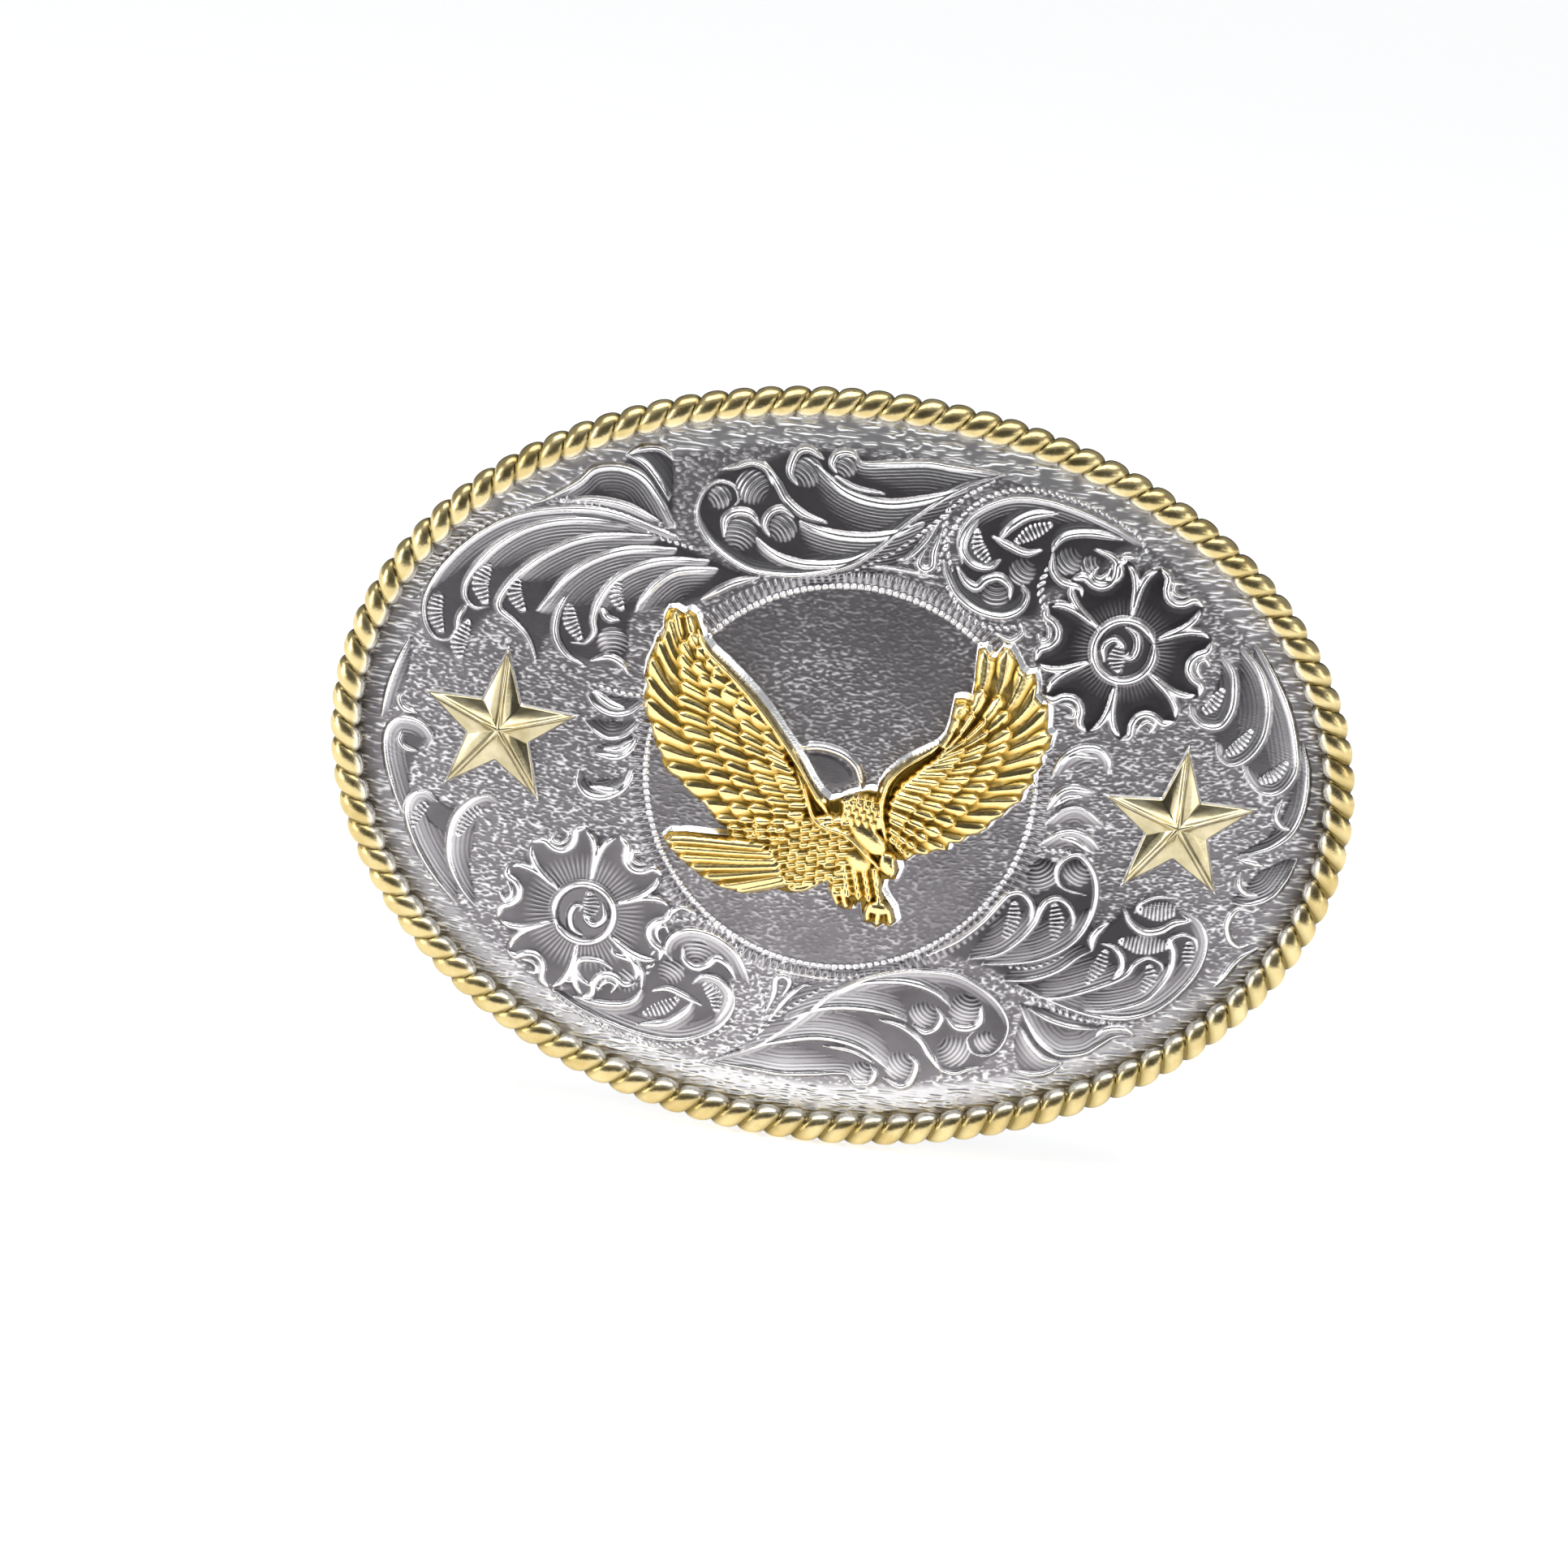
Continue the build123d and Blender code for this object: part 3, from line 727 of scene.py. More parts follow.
def flower(relief, x, z, turn, rays_end, polish_and_painted_light):
    """A flower with a scrolled centre, turned by turn in degrees. rays_end is how far its rays reach."""
    def at(radius, angle):
        right, up = heading(angle + turn)
        return (x + radius * right, z + radius * up)

    step = 360 / PETALS
    centre = np.array([x, z]) + relief.shift
    hollow(relief, [at(CENTRE_RADIUS, angle) for angle in range(0, 360, 30)], polish_and_painted_light + 0.1)
    hollow(relief, [at(PETAL_REACH, angle) for angle in range(0, 360, 15)])
    for petal in range(PETALS):
        first = FIRST_GAP + petal * step
        edge = [at(radius, first + share * step) for radius, share in PETAL_EDGE]
        outline = smooth(edge) + relief.shift
        part, gx, gz = relief.window(outline, 0.2)
        inside = inside_distance(outline, gx, gz)
        radius = np.hypot(gx - centre[0], gz - centre[1])
        angle = np.arctan2(gz - centre[1], gx - centre[0])
        rays = (0.5 + 0.5 * np.cos(angle * RAYS)) ** 2 * np.clip((rays_end - radius) / 1.4, 0, 1)
        dish = 0.2 + 0.02 * np.clip(radius - 3, 0, 6) - 0.1 * np.clip(inside, 0, 1)
        # Painted highlights along the rays on the dark petals
        relief.lay(part, np.where(inside > 0, dish + 0.06 * rays, 0), polish_and_painted_light + 0.36 * rays)
        ridge(relief, edge[4:12], 0.46, 0.12, 0.62)
        curl = [at(8.7, first + 0.36 * step), at(8.1, first + 0.42 * step), at(7.9, first + 0.52 * step),
                at(8.6, first + 0.58 * step), at(9.2, first + 0.5 * step)]
        ridge(relief, curl, 0.32, height=0.5)
    for petal in range(PETALS):
        gap = FIRST_GAP + petal * step
        for side in (-1, 1):
            divider = [at(3.6, gap), at(5.4, gap + 0.6 * side), at(6.9, gap + 2.2 * side),
                       at(8.2, gap + 5.6 * side), at(9.0, gap + 10.5 * side)]
            ridge(relief, divider, 0.42, 0.2, 0.6)
    scrolls = [[at(2.6, 95), at(2.1, 60), at(1.5, 20), at(1.2, 330), at(0.8, 300), at(0.5, 350)],
               [at(2.3, 215), at(2.2, 175), at(1.7, 140), at(0.9, 115), at(0.2, 80)]]
    ridge(relief, [at(3.2, a) for a in range(20, 381, 20)], 0.5, 0.06, 0.8)
    ridge(relief, scrolls[0], 0.42, height=0.65)
    ridge(relief, scrolls[1], 0.4, height=0.65)
    ladder(relief, [at(2.1, 260), at(1.1, 235), at(0.6, 150)], 0.9, 0.4, 0.5)


EAGLE_OUTLINE = [
    (-21.0, 14.0), (-20.7, 15.0), (-19.9, 15.2), (-19.1, 14.8), (-18.4, 15.2), (-17.7, 14.8), (-17.2, 13.8),
    (-16.6, 12.5), (-15.6, 11.5), (-14.0, 10.4), (-12.2, 9.0), (-10.4, 7.5), (-8.8, 5.9), (-7.4, 4.3),
    (-6.0, 2.7), (-4.7, 1.1), (-3.6, -0.5), (-2.5, -1.8), (-1.5, -2.6), (-0.5, -2.2), (0.5, -1.6),
    (1.5, -1.2), (2.6, -0.9), (3.3, -1.0), (3.4, -0.1), (4.0, 1.0), (5.0, 2.1), (6.2, 3.1), (7.6, 4.0),
    (8.8, 4.8), (9.5, 5.8), (9.8, 7.2), (9.9, 8.6), (10.0, 9.8), (10.9, 10.0), (11.7, 9.8), (11.8, 11.5),
    (11.7, 13.5), (11.7, 15.2), (12.4, 15.5), (13.1, 14.6), (13.6, 14.5), (14.2, 15.7), (15.0, 15.7),
    (15.7, 14.8), (16.4, 13.6), (17.1, 13.2), (17.9, 13.4), (18.3, 12.2), (18.3, 11.0), (19.0, 10.3),
    (19.7, 10.3), (19.9, 9.0), (20.0, 7.5), (20.6, 7.1), (20.4, 5.7), (19.8, 4.8), (20.0, 3.9), (19.2, 2.8),
    (19.3, 2.0), (18.5, 1.1), (18.3, -0.1), (17.2, -1.0), (16.5, -2.0), (15.6, -2.6), (15.2, -3.4),
    (14.3, -4.2), (13.3, -4.5), (12.6, -5.3), (11.5, -5.5), (11.4, -6.3), (10.2, -6.4), (9.3, -7.0),
    (8.0, -7.2), (7.2, -8.0), (6.3, -7.9), (6.7, -9.0), (6.4, -10.1), (5.3, -10.2), (5.2, -11.4),
    (5.8, -12.3), (6.6, -13.2), (7.1, -14.6), (6.4, -15.3), (5.8, -15.0), (5.1, -15.6), (4.5, -15.1),
    (3.8, -15.1), (3.4, -14.0), (3.2, -13.0), (2.5, -12.9), (2.3, -13.9), (1.4, -14.0), (0.5, -13.5),
    (-0.3, -12.3), (-0.6, -11.1), (-1.3, -11.5), (-2.6, -12.6), (-4.2, -13.0), (-5.6, -12.8), (-7.4, -13.4),
    (-9.2, -13.8), (-11.4, -13.5), (-13.9, -12.5), (-16.0, -11.2), (-17.5, -10.0), (-18.2, -9.0),
    (-17.6, -8.3), (-15.8, -8.0), (-13.4, -7.9), (-11.4, -7.8), (-11.7, -7.0), (-12.6, -6.7), (-13.6, -5.7),
    (-14.4, -4.7), (-15.4, -4.3), (-16.7, -3.3), (-17.4, -2.5), (-18.6, -2.1), (-19.3, -1.0), (-19.6, -0.1),
    (-20.2, 0.6), (-20.7, 2.0), (-21.0, 2.9), (-21.6, 3.6), (-22.1, 5.6), (-21.9, 6.8), (-22.3, 7.6),
    (-22.2, 9.2), (-21.8, 10.4), (-21.5, 11.8), (-20.9, 12.6),
]


def ring(relief):
    """The beaded ring round the middle field, with a band of radial ticks outside it."""
    part, x, z = relief.everywhere()
    radius = np.hypot(x - RING_CENTRE[0], z - RING_CENTRE[1])
    angle = np.arctan2(z - RING_CENTRE[1], x - RING_CENTRE[0])
    ticks = 0.5 + 0.5 * np.cos(angle * RING_TICKS)
    band = np.clip(1 - np.abs(radius - RING_RADIUS - BAND_OUT) / BAND_HALF_WIDTH, 0, 1) ** 0.5
    relief.lay(part, 0.3 * band * ticks, 0.35 * ticks + 0.1)
    dots = 0.5 + 0.5 * np.cos(angle * RING_TICKS + 1.5)
    line = np.clip(1 - np.abs(radius - RING_RADIUS) / RING_LINE, 0, 1) ** 0.5
    relief.lay(part, 0.34 * line * dots, 0.9)


def eagle_boss(relief):
    """The silver pad under the eagle, whose bevel shows above its wings, and a small loop between them."""
    part, x, z = relief.everywhere()
    inside = inside_distance(np.array(EAGLE_OUTLINE) + PAD_SHIFT, x, z)
    relief.lay(part, PAD_HEIGHT * np.clip((inside + 0.3) / 0.7, 0, 1), 1.0)
    hollow(relief, [(-4.4, 1.6), (-2.4, 1.9), (-0.4, 1.5), (1, 0.5), (1.6, -0.6), (0.8, -1.8), (-1.6, -2)])
    ridge(relief, [(-4.6, 1.9), (-2.4, 2.2), (-0.2, 1.8), (1.3, 0.8), (2, -0.4), (2.4, -1.6)], 0.5, 0.1, 0.7)


def engraved_relief():
    """The face's whole relief, with its stippled ground."""
    size = (FACE_HALF_WIDTH + FACE_MARGIN, FACE_HALF_HEIGHT + FACE_MARGIN, FACE_STEP)
    relief = Relief(*size, FACE_SHIFT)
    for draw, place in ((bottom_fan, (0, 0)), (right_fan, (0.3, 0)), (ring_side, (0.2, -1.1)),
                        (flower_frame, (0.9, -0.9)), (right_edge, (0.6, -1.2))):
        relief.shift = FACE_SHIFT + place
        draw(relief)
    turned = Relief(*size, -FACE_SHIFT)
    for draw, place in ((bottom_fan, (-2.6, 1.0)), (left_fan, (0, 0)), (ring_side, (-0.2, 0)),
                        (flower_frame, (0, 0.4)), (left_edge, (0, 0))):
        turned.shift = -FACE_SHIFT + place
        draw(turned)
    relief.add_turned(turned)
    relief.shift = FACE_SHIFT
    # Painted shade: the upper flower's petals are painted almost black, darker than the lower flower's
    flower(relief, 27.4, 16.0, 0, 5.6, 0.04)
    flower(relief, -24.8, -19.3, 180, 6.6, 0.17)
    ring(relief)
    eagle_boss(relief)
    add_ground(relief)
    _, x, z = relief.everywhere()
    # Painted light and shade: each patch darkens or lightens the colour round its middle
    for patch_x, patch_z, half_width, half_height, amount in PAINTED_LIGHT_AND_SHADE:
        away = -(((x - patch_x) / half_width) ** 2) - ((z - patch_z) / half_height) ** 2
        relief.polish_and_painted_light -= amount * np.exp(away)
    return relief


def add_ground(relief):
    """Stipple wherever nothing is drawn: short level dashes, which run longer near the edge."""
    random = np.random.default_rng(7)
    shape = relief.height.shape
    _, x, z = relief.everywhere()
    ground = np.clip(1 - relief.height / 0.06, 0, 1)
    out = np.hypot(x / (FACE_HALF_WIDTH - BORDER), z / (FACE_HALF_HEIGHT - BORDER))
    border = np.clip((out - 1) / 0.02, 0, 1)
    middle = np.hypot(x - RING_CENTRE[0], z - RING_CENTRE[1]) < RING_RADIUS
    dashes = value_noise(shape, (1.4, 3.2), random)
    streaks = value_noise(shape, (1.6, 9.0), random)
    patches = value_noise(shape, (45, 60), random)
    pattern = dashes * (1 - border) + streaks * border
    cut = np.clip((pattern - 0.5) / 0.3, 0, 1)
    depth = np.where(middle, 0.03 + 0.04 * patches, 0.08 + 0.05 * border)
    relief.height += ground * cut * depth
    bright = 0.45 * np.abs(z) / FACE_HALF_HEIGHT - 0.05  # painted light: the border is painted lighter above and below
    # Painted glints: the stipple's cut dashes are painted brighter than the ground round them
    stipple = np.where(middle, 0.2 + 0.55 * cut * patches, 0.22 + bright * border + 0.55 * cut)
    relief.polish_and_painted_light = relief.polish_and_painted_light * (1 - ground) + stipple * ground
    relief.satin = ground * np.where(middle, 0.3, 0.4 + 0.05 * border)


def build_face():
    """The domed face sheet with its engraving: a fine front grid, an edge wall and a plain rear."""
    relief = engraved_relief()
    u, v = disc_grid(FACE_GRID)
    x = (u * FACE_HALF_WIDTH).ravel()
    z = (v * FACE_HALF_HEIGHT).ravel()
    height = relief.sample(relief.height, x, z)
    polish_and_painted_light = relief.sample(relief.polish_and_painted_light, x, z)
    points = [on_sphere(x, z, FACE_RADIUS + height)]
    quads = [grid_quads(FACE_GRID, FACE_GRID)]
    number = np.arange(FACE_GRID**2).reshape(FACE_GRID, FACE_GRID)
    rim = np.concatenate([number[0, :-1], number[:-1, -1], number[-1, :0:-1], number[:0:-1, 0]])
    previous = rim
    count = FACE_GRID**2
    for scale in REAR_RINGS:
        points.append(on_sphere(x[rim] * scale, z[rim] * scale, JOIN_RADIUS))
        current = count + np.arange(len(rim))
        quads.append(np.stack([previous, current, np.roll(current, -1), np.roll(previous, -1)], -1))
        previous = current
        count += len(rim)
    face = mesh_object("engraved_face", np.vstack(points), np.vstack(quads), [previous])
    plain = np.full(count - len(x), PLAIN_POLISH)
    set_attribute(face, "polish_and_painted_light", np.concatenate([polish_and_painted_light, plain]))
    set_attribute(face, "satin", np.concatenate([relief.sample(relief.satin, x, z), plain]))
    return face


# ---------------------------------------------------------------- the rope edge

def build_rope():
    """A twisted rope moulding: one tube round the rim, with lobes that wind round it."""
    around = ROPE_LOBES * ROPE_STEPS
    across = ROPE_SIDES
    half_x = HALF_WIDTH - ROPE_HALF_WIDTH
    half_z = HALF_HEIGHT - ROPE_HALF_WIDTH
    fine = np.linspace(0, 2 * np.pi, ROPE_SAMPLES)
    line = on_sphere(half_x * np.cos(fine), half_z * np.sin(fine), FACE_RADIUS + ROPE_HALF_HEIGHT)
    far = travelled(line)
    turn = np.interp(np.arange(around) / around * far[-1], far, fine)
    middle = on_sphere(half_x * np.cos(turn), half_z * np.sin(turn), FACE_RADIUS + ROPE_HALF_HEIGHT)
    tangent = np.roll(middle, -1, axis=0) - np.roll(middle, 1, axis=0)
    tangent /= np.linalg.norm(tangent, axis=1)[:, None]
    front = middle - np.array([0, REAR_RADIUS, 0])
    front /= np.linalg.norm(front, axis=1)[:, None]
    inward = np.cross(front, tangent)
    inward *= -np.sign((inward * middle * [1, 0, 1]).sum(1))[:, None]
    angle = np.arange(across) / across * 2 * np.pi
    share = np.arange(around)[:, None] / around
    front_slant = ROPE_FRONT_SLANT * (1 - np.cos(angle)) / 2
    rear_slant = ROPE_FRONT_SLANT + (1 - ROPE_FRONT_SLANT) * (1 + np.cos(angle)) / 2
    slant = np.where(angle < np.pi, front_slant, rear_slant)
    phase = (share * ROPE_LOBES + slant[None, :]) % 1
    lobe = np.sqrt(1 - 0.96 * (2 * phase - 1) ** 2)
    size = 1 - ROPE_GROOVE * (1 - lobe)
    sideways = (ROPE_HALF_WIDTH * np.cos(angle) * size)[..., None] * inward[:, None, :]
    forward = (ROPE_HALF_HEIGHT * np.sin(angle) * size)[..., None] * front[:, None, :]
    points = middle[:, None, :] + sideways + forward
    quads = grid_quads(around, across, wrap_rows=True, wrap_columns=True)
    rope = mesh_object("rope_moulding", points.reshape(-1, 3), quads)
    inner = np.broadcast_to(np.clip(np.cos(angle), 0, 1), (around, across))
    set_attribute(rope, "inner", inner.ravel())
    # Painted shade: dark in the grooves between the lobes, and darker towards the lower right
    lower_right = np.clip(np.cos(turn) - np.sin(turn), 0, 1)[:, None]
    set_attribute(rope, "painted_groove_shade", (1 - lobe + ROPE_LOWER_RIGHT_SHADE * lower_right).ravel())
    return rope


# ---------------------------------------------------------------- the eagle

def evenly(points, count):
    """Points spaced evenly along a smooth path."""
    path = smooth(points)
    far = travelled(path)
    at = np.linspace(0, far[-1], count)
    return np.stack([np.interp(at, far, path[:, k]) for k in (0, 1)], -1)


def guide(curves, u):
    """The curve a share u of the way through a fan of curves."""
    place = min(max(u, 0), 1) * (len(curves) - 1)
    k = min(int(place), len(curves) - 2)
    return curves[k] + (place - k) * (curves[k + 1] - curves[k])


def feather(relief, path, half_width, root, tip, point=1.0, tilt=0.0):
    """One feather, whose crest has the heights root and tip at its ends.

    A larger point makes its tip longer, and tilt turns it about its shaft.
    """
    path = path + relief.shift
    part, x, z = relief.window(path, half_width)
    distance, t, length = measure(path, x, z)
    ending = np.clip((1 - t) * length / (half_width * point), 0, 1)
    full = half_width * np.sqrt(1 - (1 - ending) ** 2)
    u = distance / (full + 1e-6)
    shaft = SHAFT_HEIGHT * np.exp(-((distance / 0.15) ** 2))
    height = root + (tip - root) * t - FEATHER_CROWN * u**2 + tilt * u + shaft
    relief.lay(part, np.where(np.abs(u) < 1, height, 0), 0.8)


def feather_fan(relief, guides, rows):
    """Overlapping rows of feathers along a fan of guide curves, from the lowest row to the highest."""
    curves = [evenly(points, FAN_POINTS) for points in guides]
    random = np.random.default_rng(11)
    for count, start, end, root, tip, point in rows:
        first = round(start * (FAN_POINTS - 1))
        last = round(end * (FAN_POINTS - 1))
        for index in range(count):
            u = (index + 0.5) / count
            path = guide(curves, u)[first : last + 1]
            before = guide(curves, u - 0.5 / count)
            after = guide(curves, u + 0.5 / count)
            middle = (first + last) // 2
            gap = np.linalg.norm(after[middle] - before[middle])
            feather(relief, path, 0.6 * gap, root, tip, point, 0.4 * random.random() - 0.2)


def dome(relief, x, z, long, short, turn, height):
    """A smooth oval swelling. turn is the direction of its length, in degrees."""
    part, dx, dz = relief.around(x, z, long)
    c, s = heading(turn)
    u = np.hypot((dx * c + dz * s) / long, (dz * c - dx * s) / short)
    swelling = height * (0.7 + 0.3 * np.sqrt(np.clip(1 - u**2, 0, 1)))
    relief.lay(part, np.where(u < 1, swelling, 0), 1.0)


# Guides from the wings' and the tail's roots to their tips, in order across them
LEFT_WING = [
    [(-15.4, 10.2), (-16.6, 11.6), (-17.6, 13.2), (-18.2, 14.9)],
    [(-12.6, 7.8), (-15, 8.9), (-16.9, 9.9), (-18.2, 11.1), (-19.2, 12.9), (-19.9, 15)],
    [(-10, 5.9), (-12.5, 7), (-15.2, 8), (-17.4, 8.9), (-19.2, 10.6), (-20.7, 13.6)],
    [(-7.6, 2.8), (-10, 4.4), (-13.3, 5.9), (-16.5, 7.2), (-18.4, 8), (-19.8, 9.3), (-21.3, 11.8)],
    [(-6.9, 1.5), (-10, 2.7), (-13, 3.7), (-16.5, 5), (-18.5, 5.5), (-20.3, 6.9), (-22.2, 9.2)],
    [(-6.2, 0.3), (-9, 1.1), (-12.7, 2.1), (-15.8, 2.9), (-18, 3.3), (-20.2, 4.3), (-22.1, 5.8)],
    [(-5.3, -0.9), (-8, -0.7), (-11.5, -0.1), (-14.3, 0.8), (-17, 1.1), (-20.7, 2.2)],
    [(-4.6, -2.2), (-7, -2.2), (-10.5, -1.8), (-13.8, -1), (-16.5, -1.1), (-19.3, -0.8)],
    [(-4.0, -3.4), (-6.5, -3.6), (-9, -3.5), (-12, -3.2), (-14.5, -3.2), (-16.6, -3.3)],
    [(-4.5, -4.9), (-7, -5.2), (-9.5, -5.4), (-11.5, -5.5), (-13.5, -5.7)],
    [(-6, -6.2), (-8, -6.6), (-10, -6.8), (-11.6, -6.9)],
    [(-5.5, -7.3), (-7.5, -7.6), (-9.5, -7.8), (-11, -7.8)],
]
RIGHT_WING = [
    [(9.3, 5.2), (9.9, 7), (10.4, 8.6), (10.6, 10)],
    [(9.8, 4.6), (11, 7), (11.9, 9.4), (12.4, 12), (12.3, 15.5)],
    [(9.6, 4.2), (12, 6.4), (14, 9.2), (14.8, 12), (14.9, 15.8)],
    [(9.2, 3.6), (12.3, 5.4), (15.2, 8), (16.9, 10.8), (17.7, 13.6)],
    [(8.6, 2.8), (12, 4.1), (15.5, 6), (17.9, 8), (19.5, 10.5)],
    [(7.9, 2.1), (11.5, 2.9), (15, 4.4), (17.8, 6), (20.4, 7.3)],
    [(7.2, 1.3), (11.2, 1.7), (15, 2.7), (18, 3.8), (20.1, 4.6)],
    [(6.4, 0.5), (10.5, 0.5), (14, 0.9), (17, 1.5), (19.3, 2.1)],
    [(5.7, -0.5), (9.5, -0.8), (13, -0.7), (16, -0.3), (18.2, 0)],
    [(5.3, -1.6), (9, -2.2), (12, -2.6), (14.5, -2.4), (16.4, -2.1)],
    [(5.1, -2.8), (8, -3.6), (10.5, -4.2), (12.6, -4.5), (14.2, -4.4)],
    [(5.2, -3.9), (7.4, -4.7), (9.4, -5.4), (11.4, -6.1)],
    [(5.3, -5), (6.6, -5.8), (7.9, -6.6), (9.2, -7.2)],
    [(5.6, -6), (6.2, -6.8), (6.7, -7.4), (7.1, -8)],
]
TAIL = [
    [(-8.5, -8.1), (-13, -8.3), (-16.5, -8.6), (-18.1, -9)],
    [(-7, -8.9), (-11, -9.3), (-14.5, -9.6), (-17.4, -9.9)],
    [(-6.4, -9.8), (-9.5, -10.3), (-13, -10.7), (-16, -11.1)],
    [(-6, -10.6), (-8.5, -11.2), (-11.5, -11.9), (-14, -12.4)],
    [(-5.6, -11.3), (-7.5, -12), (-9.5, -12.7), (-11.6, -13.4)],
    [(-5.2, -12), (-6.2, -12.5), (-7.4, -13), (-8.8, -13.7)],
]

# Rows of feathers: how many, where they start and end on the guides, the heights of their crests at root
# and tip, and how long their tips are
LEFT_ROWS = [
    (16, 0.58, 1.00, 1.25, 1.45, 1.6),
    (16, 0.38, 0.70, 1.45, 1.85, 1.2),
    (15, 0.20, 0.50, 1.75, 2.15, 1.2),
    (15, 0.06, 0.30, 2.00, 2.35, 1.1),
    (16, 0.00, 0.14, 2.20, 2.45, 1.1),
]
RIGHT_ROWS = [
    (17, 0.52, 1.00, 1.25, 1.40, 1.6),
    (16, 0.30, 0.64, 1.50, 1.90, 1.2),
    (16, 0.12, 0.40, 1.85, 2.20, 1.2),
    (15, 0.00, 0.19, 2.10, 2.35, 1.1),
]
TAIL_ROWS = [(7, 0.0, 1.0, 1.95, 1.35, 1.3)]


def eagle_relief():
    """The eagle's modelling: two wings, tail, body, head and feet."""
    relief = Relief(23.5, 18.0, EAGLE_STEP, EAGLE_SHIFT)
    _, x, z = relief.everywhere()
    inside = inside_distance(np.array(EAGLE_OUTLINE) + EAGLE_SHIFT, x, z)
    relief.height += EAGLE_RIM + 0.5 * np.clip(inside / 2.5, 0, 1)
    feather_fan(relief, LEFT_WING, LEFT_ROWS)
    feather_fan(relief, RIGHT_WING, RIGHT_ROWS)
    feather_fan(relief, TAIL, TAIL_ROWS)
    random = np.random.default_rng(5)
    for row in range(10):  # small feathers over the body, which point to the tail
        for column in range(10):
            x = 0.7 - 1.0 * row + 0.3 * random.random()
            z = -4.6 - 0.12 * row - 0.86 * column + 0.43 * (row % 2) + 0.2 * random.random()
            if z > -12.3 + 0.06 * row:
                crest = 2.4 - 0.06 * row - 0.05 * column
                path = np.array([(x + 1.0, z + 0.14), (x, z), (x - 0.9, z - 0.16)])
                feather(relief, path, 0.54, crest - 0.35, crest, 1.0, 0.3 * random.random() - 0.15)
    for row in range(4):  # and up the back of the neck, away from the head
        for column in range(5):
            x = 0.2 + 0.8 * column + 0.4 * (row % 2)
            z = -4.1 + 0.75 * row - 0.12 * column
            path = np.array([(x + 0.1, z - 0.6), (x, z), (x - 0.1, z + 0.6)])
            feather(relief, path, 0.48, 2.2, 2.45 - 0.1 * row)
    draw(relief, ridge,
        ([(-17.4, 13.4), (-16.4, 11.8), (-14.6, 10.4), (-12, 8.3), (-9, 5.4), (-6.6, 2.8), (-4.6, 0.4),
         (-2.9, -2), (-0.9, -4.6)], 0.8, 0.12, 2.5),
        ([(-6.2, 1.6), (-4.7, -0.6), (-3.7, -2.8), (-2.9, -4.4), (-1.6, -5.2), (0.4, -5.6), (2.3, -6.9),
         (4, -8.4), (5.6, -9.8)], 0.55, 0.2, 2.5),
        ([(9.7, 5.8), (8.8, 4.8), (7.2, 3.5), (5.6, 2.2), (4.5, 0.7), (4, -1), (4, -3), (4.6, -5),
         (5.3, -6.8)], 0.6, 0.15, 2.4))
    dome(relief, 2.9, -5.7, 2.5, 1.25, -38, 2.5)
    dome(relief, 5.5, -8.3, 1.3, 1.0, -60, 2.3)
    ridge(relief, [(5.2, -8), (6, -8.8), (5.9, -9.9)], 0.5, height=2.4)
    dome(relief, 2.2, -8.3, 1.7, 1.2, -35, 2.1)
    for row in range(4):  # down the legs
        for column in range(4):
            x = 0.9 + 1.1 * column + 0.25 * row
            z = -9.4 - 0.8 * row - 0.1 * column
            path = np.array([(x - 0.1, z + 0.5), (x, z), (x + 0.1, z - 0.6)])
            feather(relief, path, 0.55, 1.9 - 0.08 * row, 2.0)
    thigh = [(-5.2, -11.4), (-4.3, -12.3), (-2.9, -12.2), (-1.4, -11.1), (0.1, -10.3)]
    ridge(relief, thigh, 0.65, height=1.7)
    toes = [[(0, -11.2), (0.3, -12.6), (0.9, -13.6)], [(0.9, -11), (1.3, -12.6), (1.9, -13.8)],
            [(4.3, -12.6), (4, -13.8), (4, -14.9)], [(5.1, -12.6), (5.1, -14), (5.1, -15.3)],
            [(5.9, -12.8), (6.3, -13.8), (6.6, -14.9)]]
    for toe in toes:
        ridge(relief, toe, 0.55, 0.15, 1.95)
    dome(relief, 5.1, -13.2, 1.3, 0.75, 0, 2.2)
    return relief


def blurred(values, reach):
    """Each sample's average with its neighbours, up to a reach along both axes."""
    for axis in (0, 1):
        values = sum(np.roll(values, step, axis) for step in range(-reach, reach + 1)) / (2 * reach + 1)
    return values


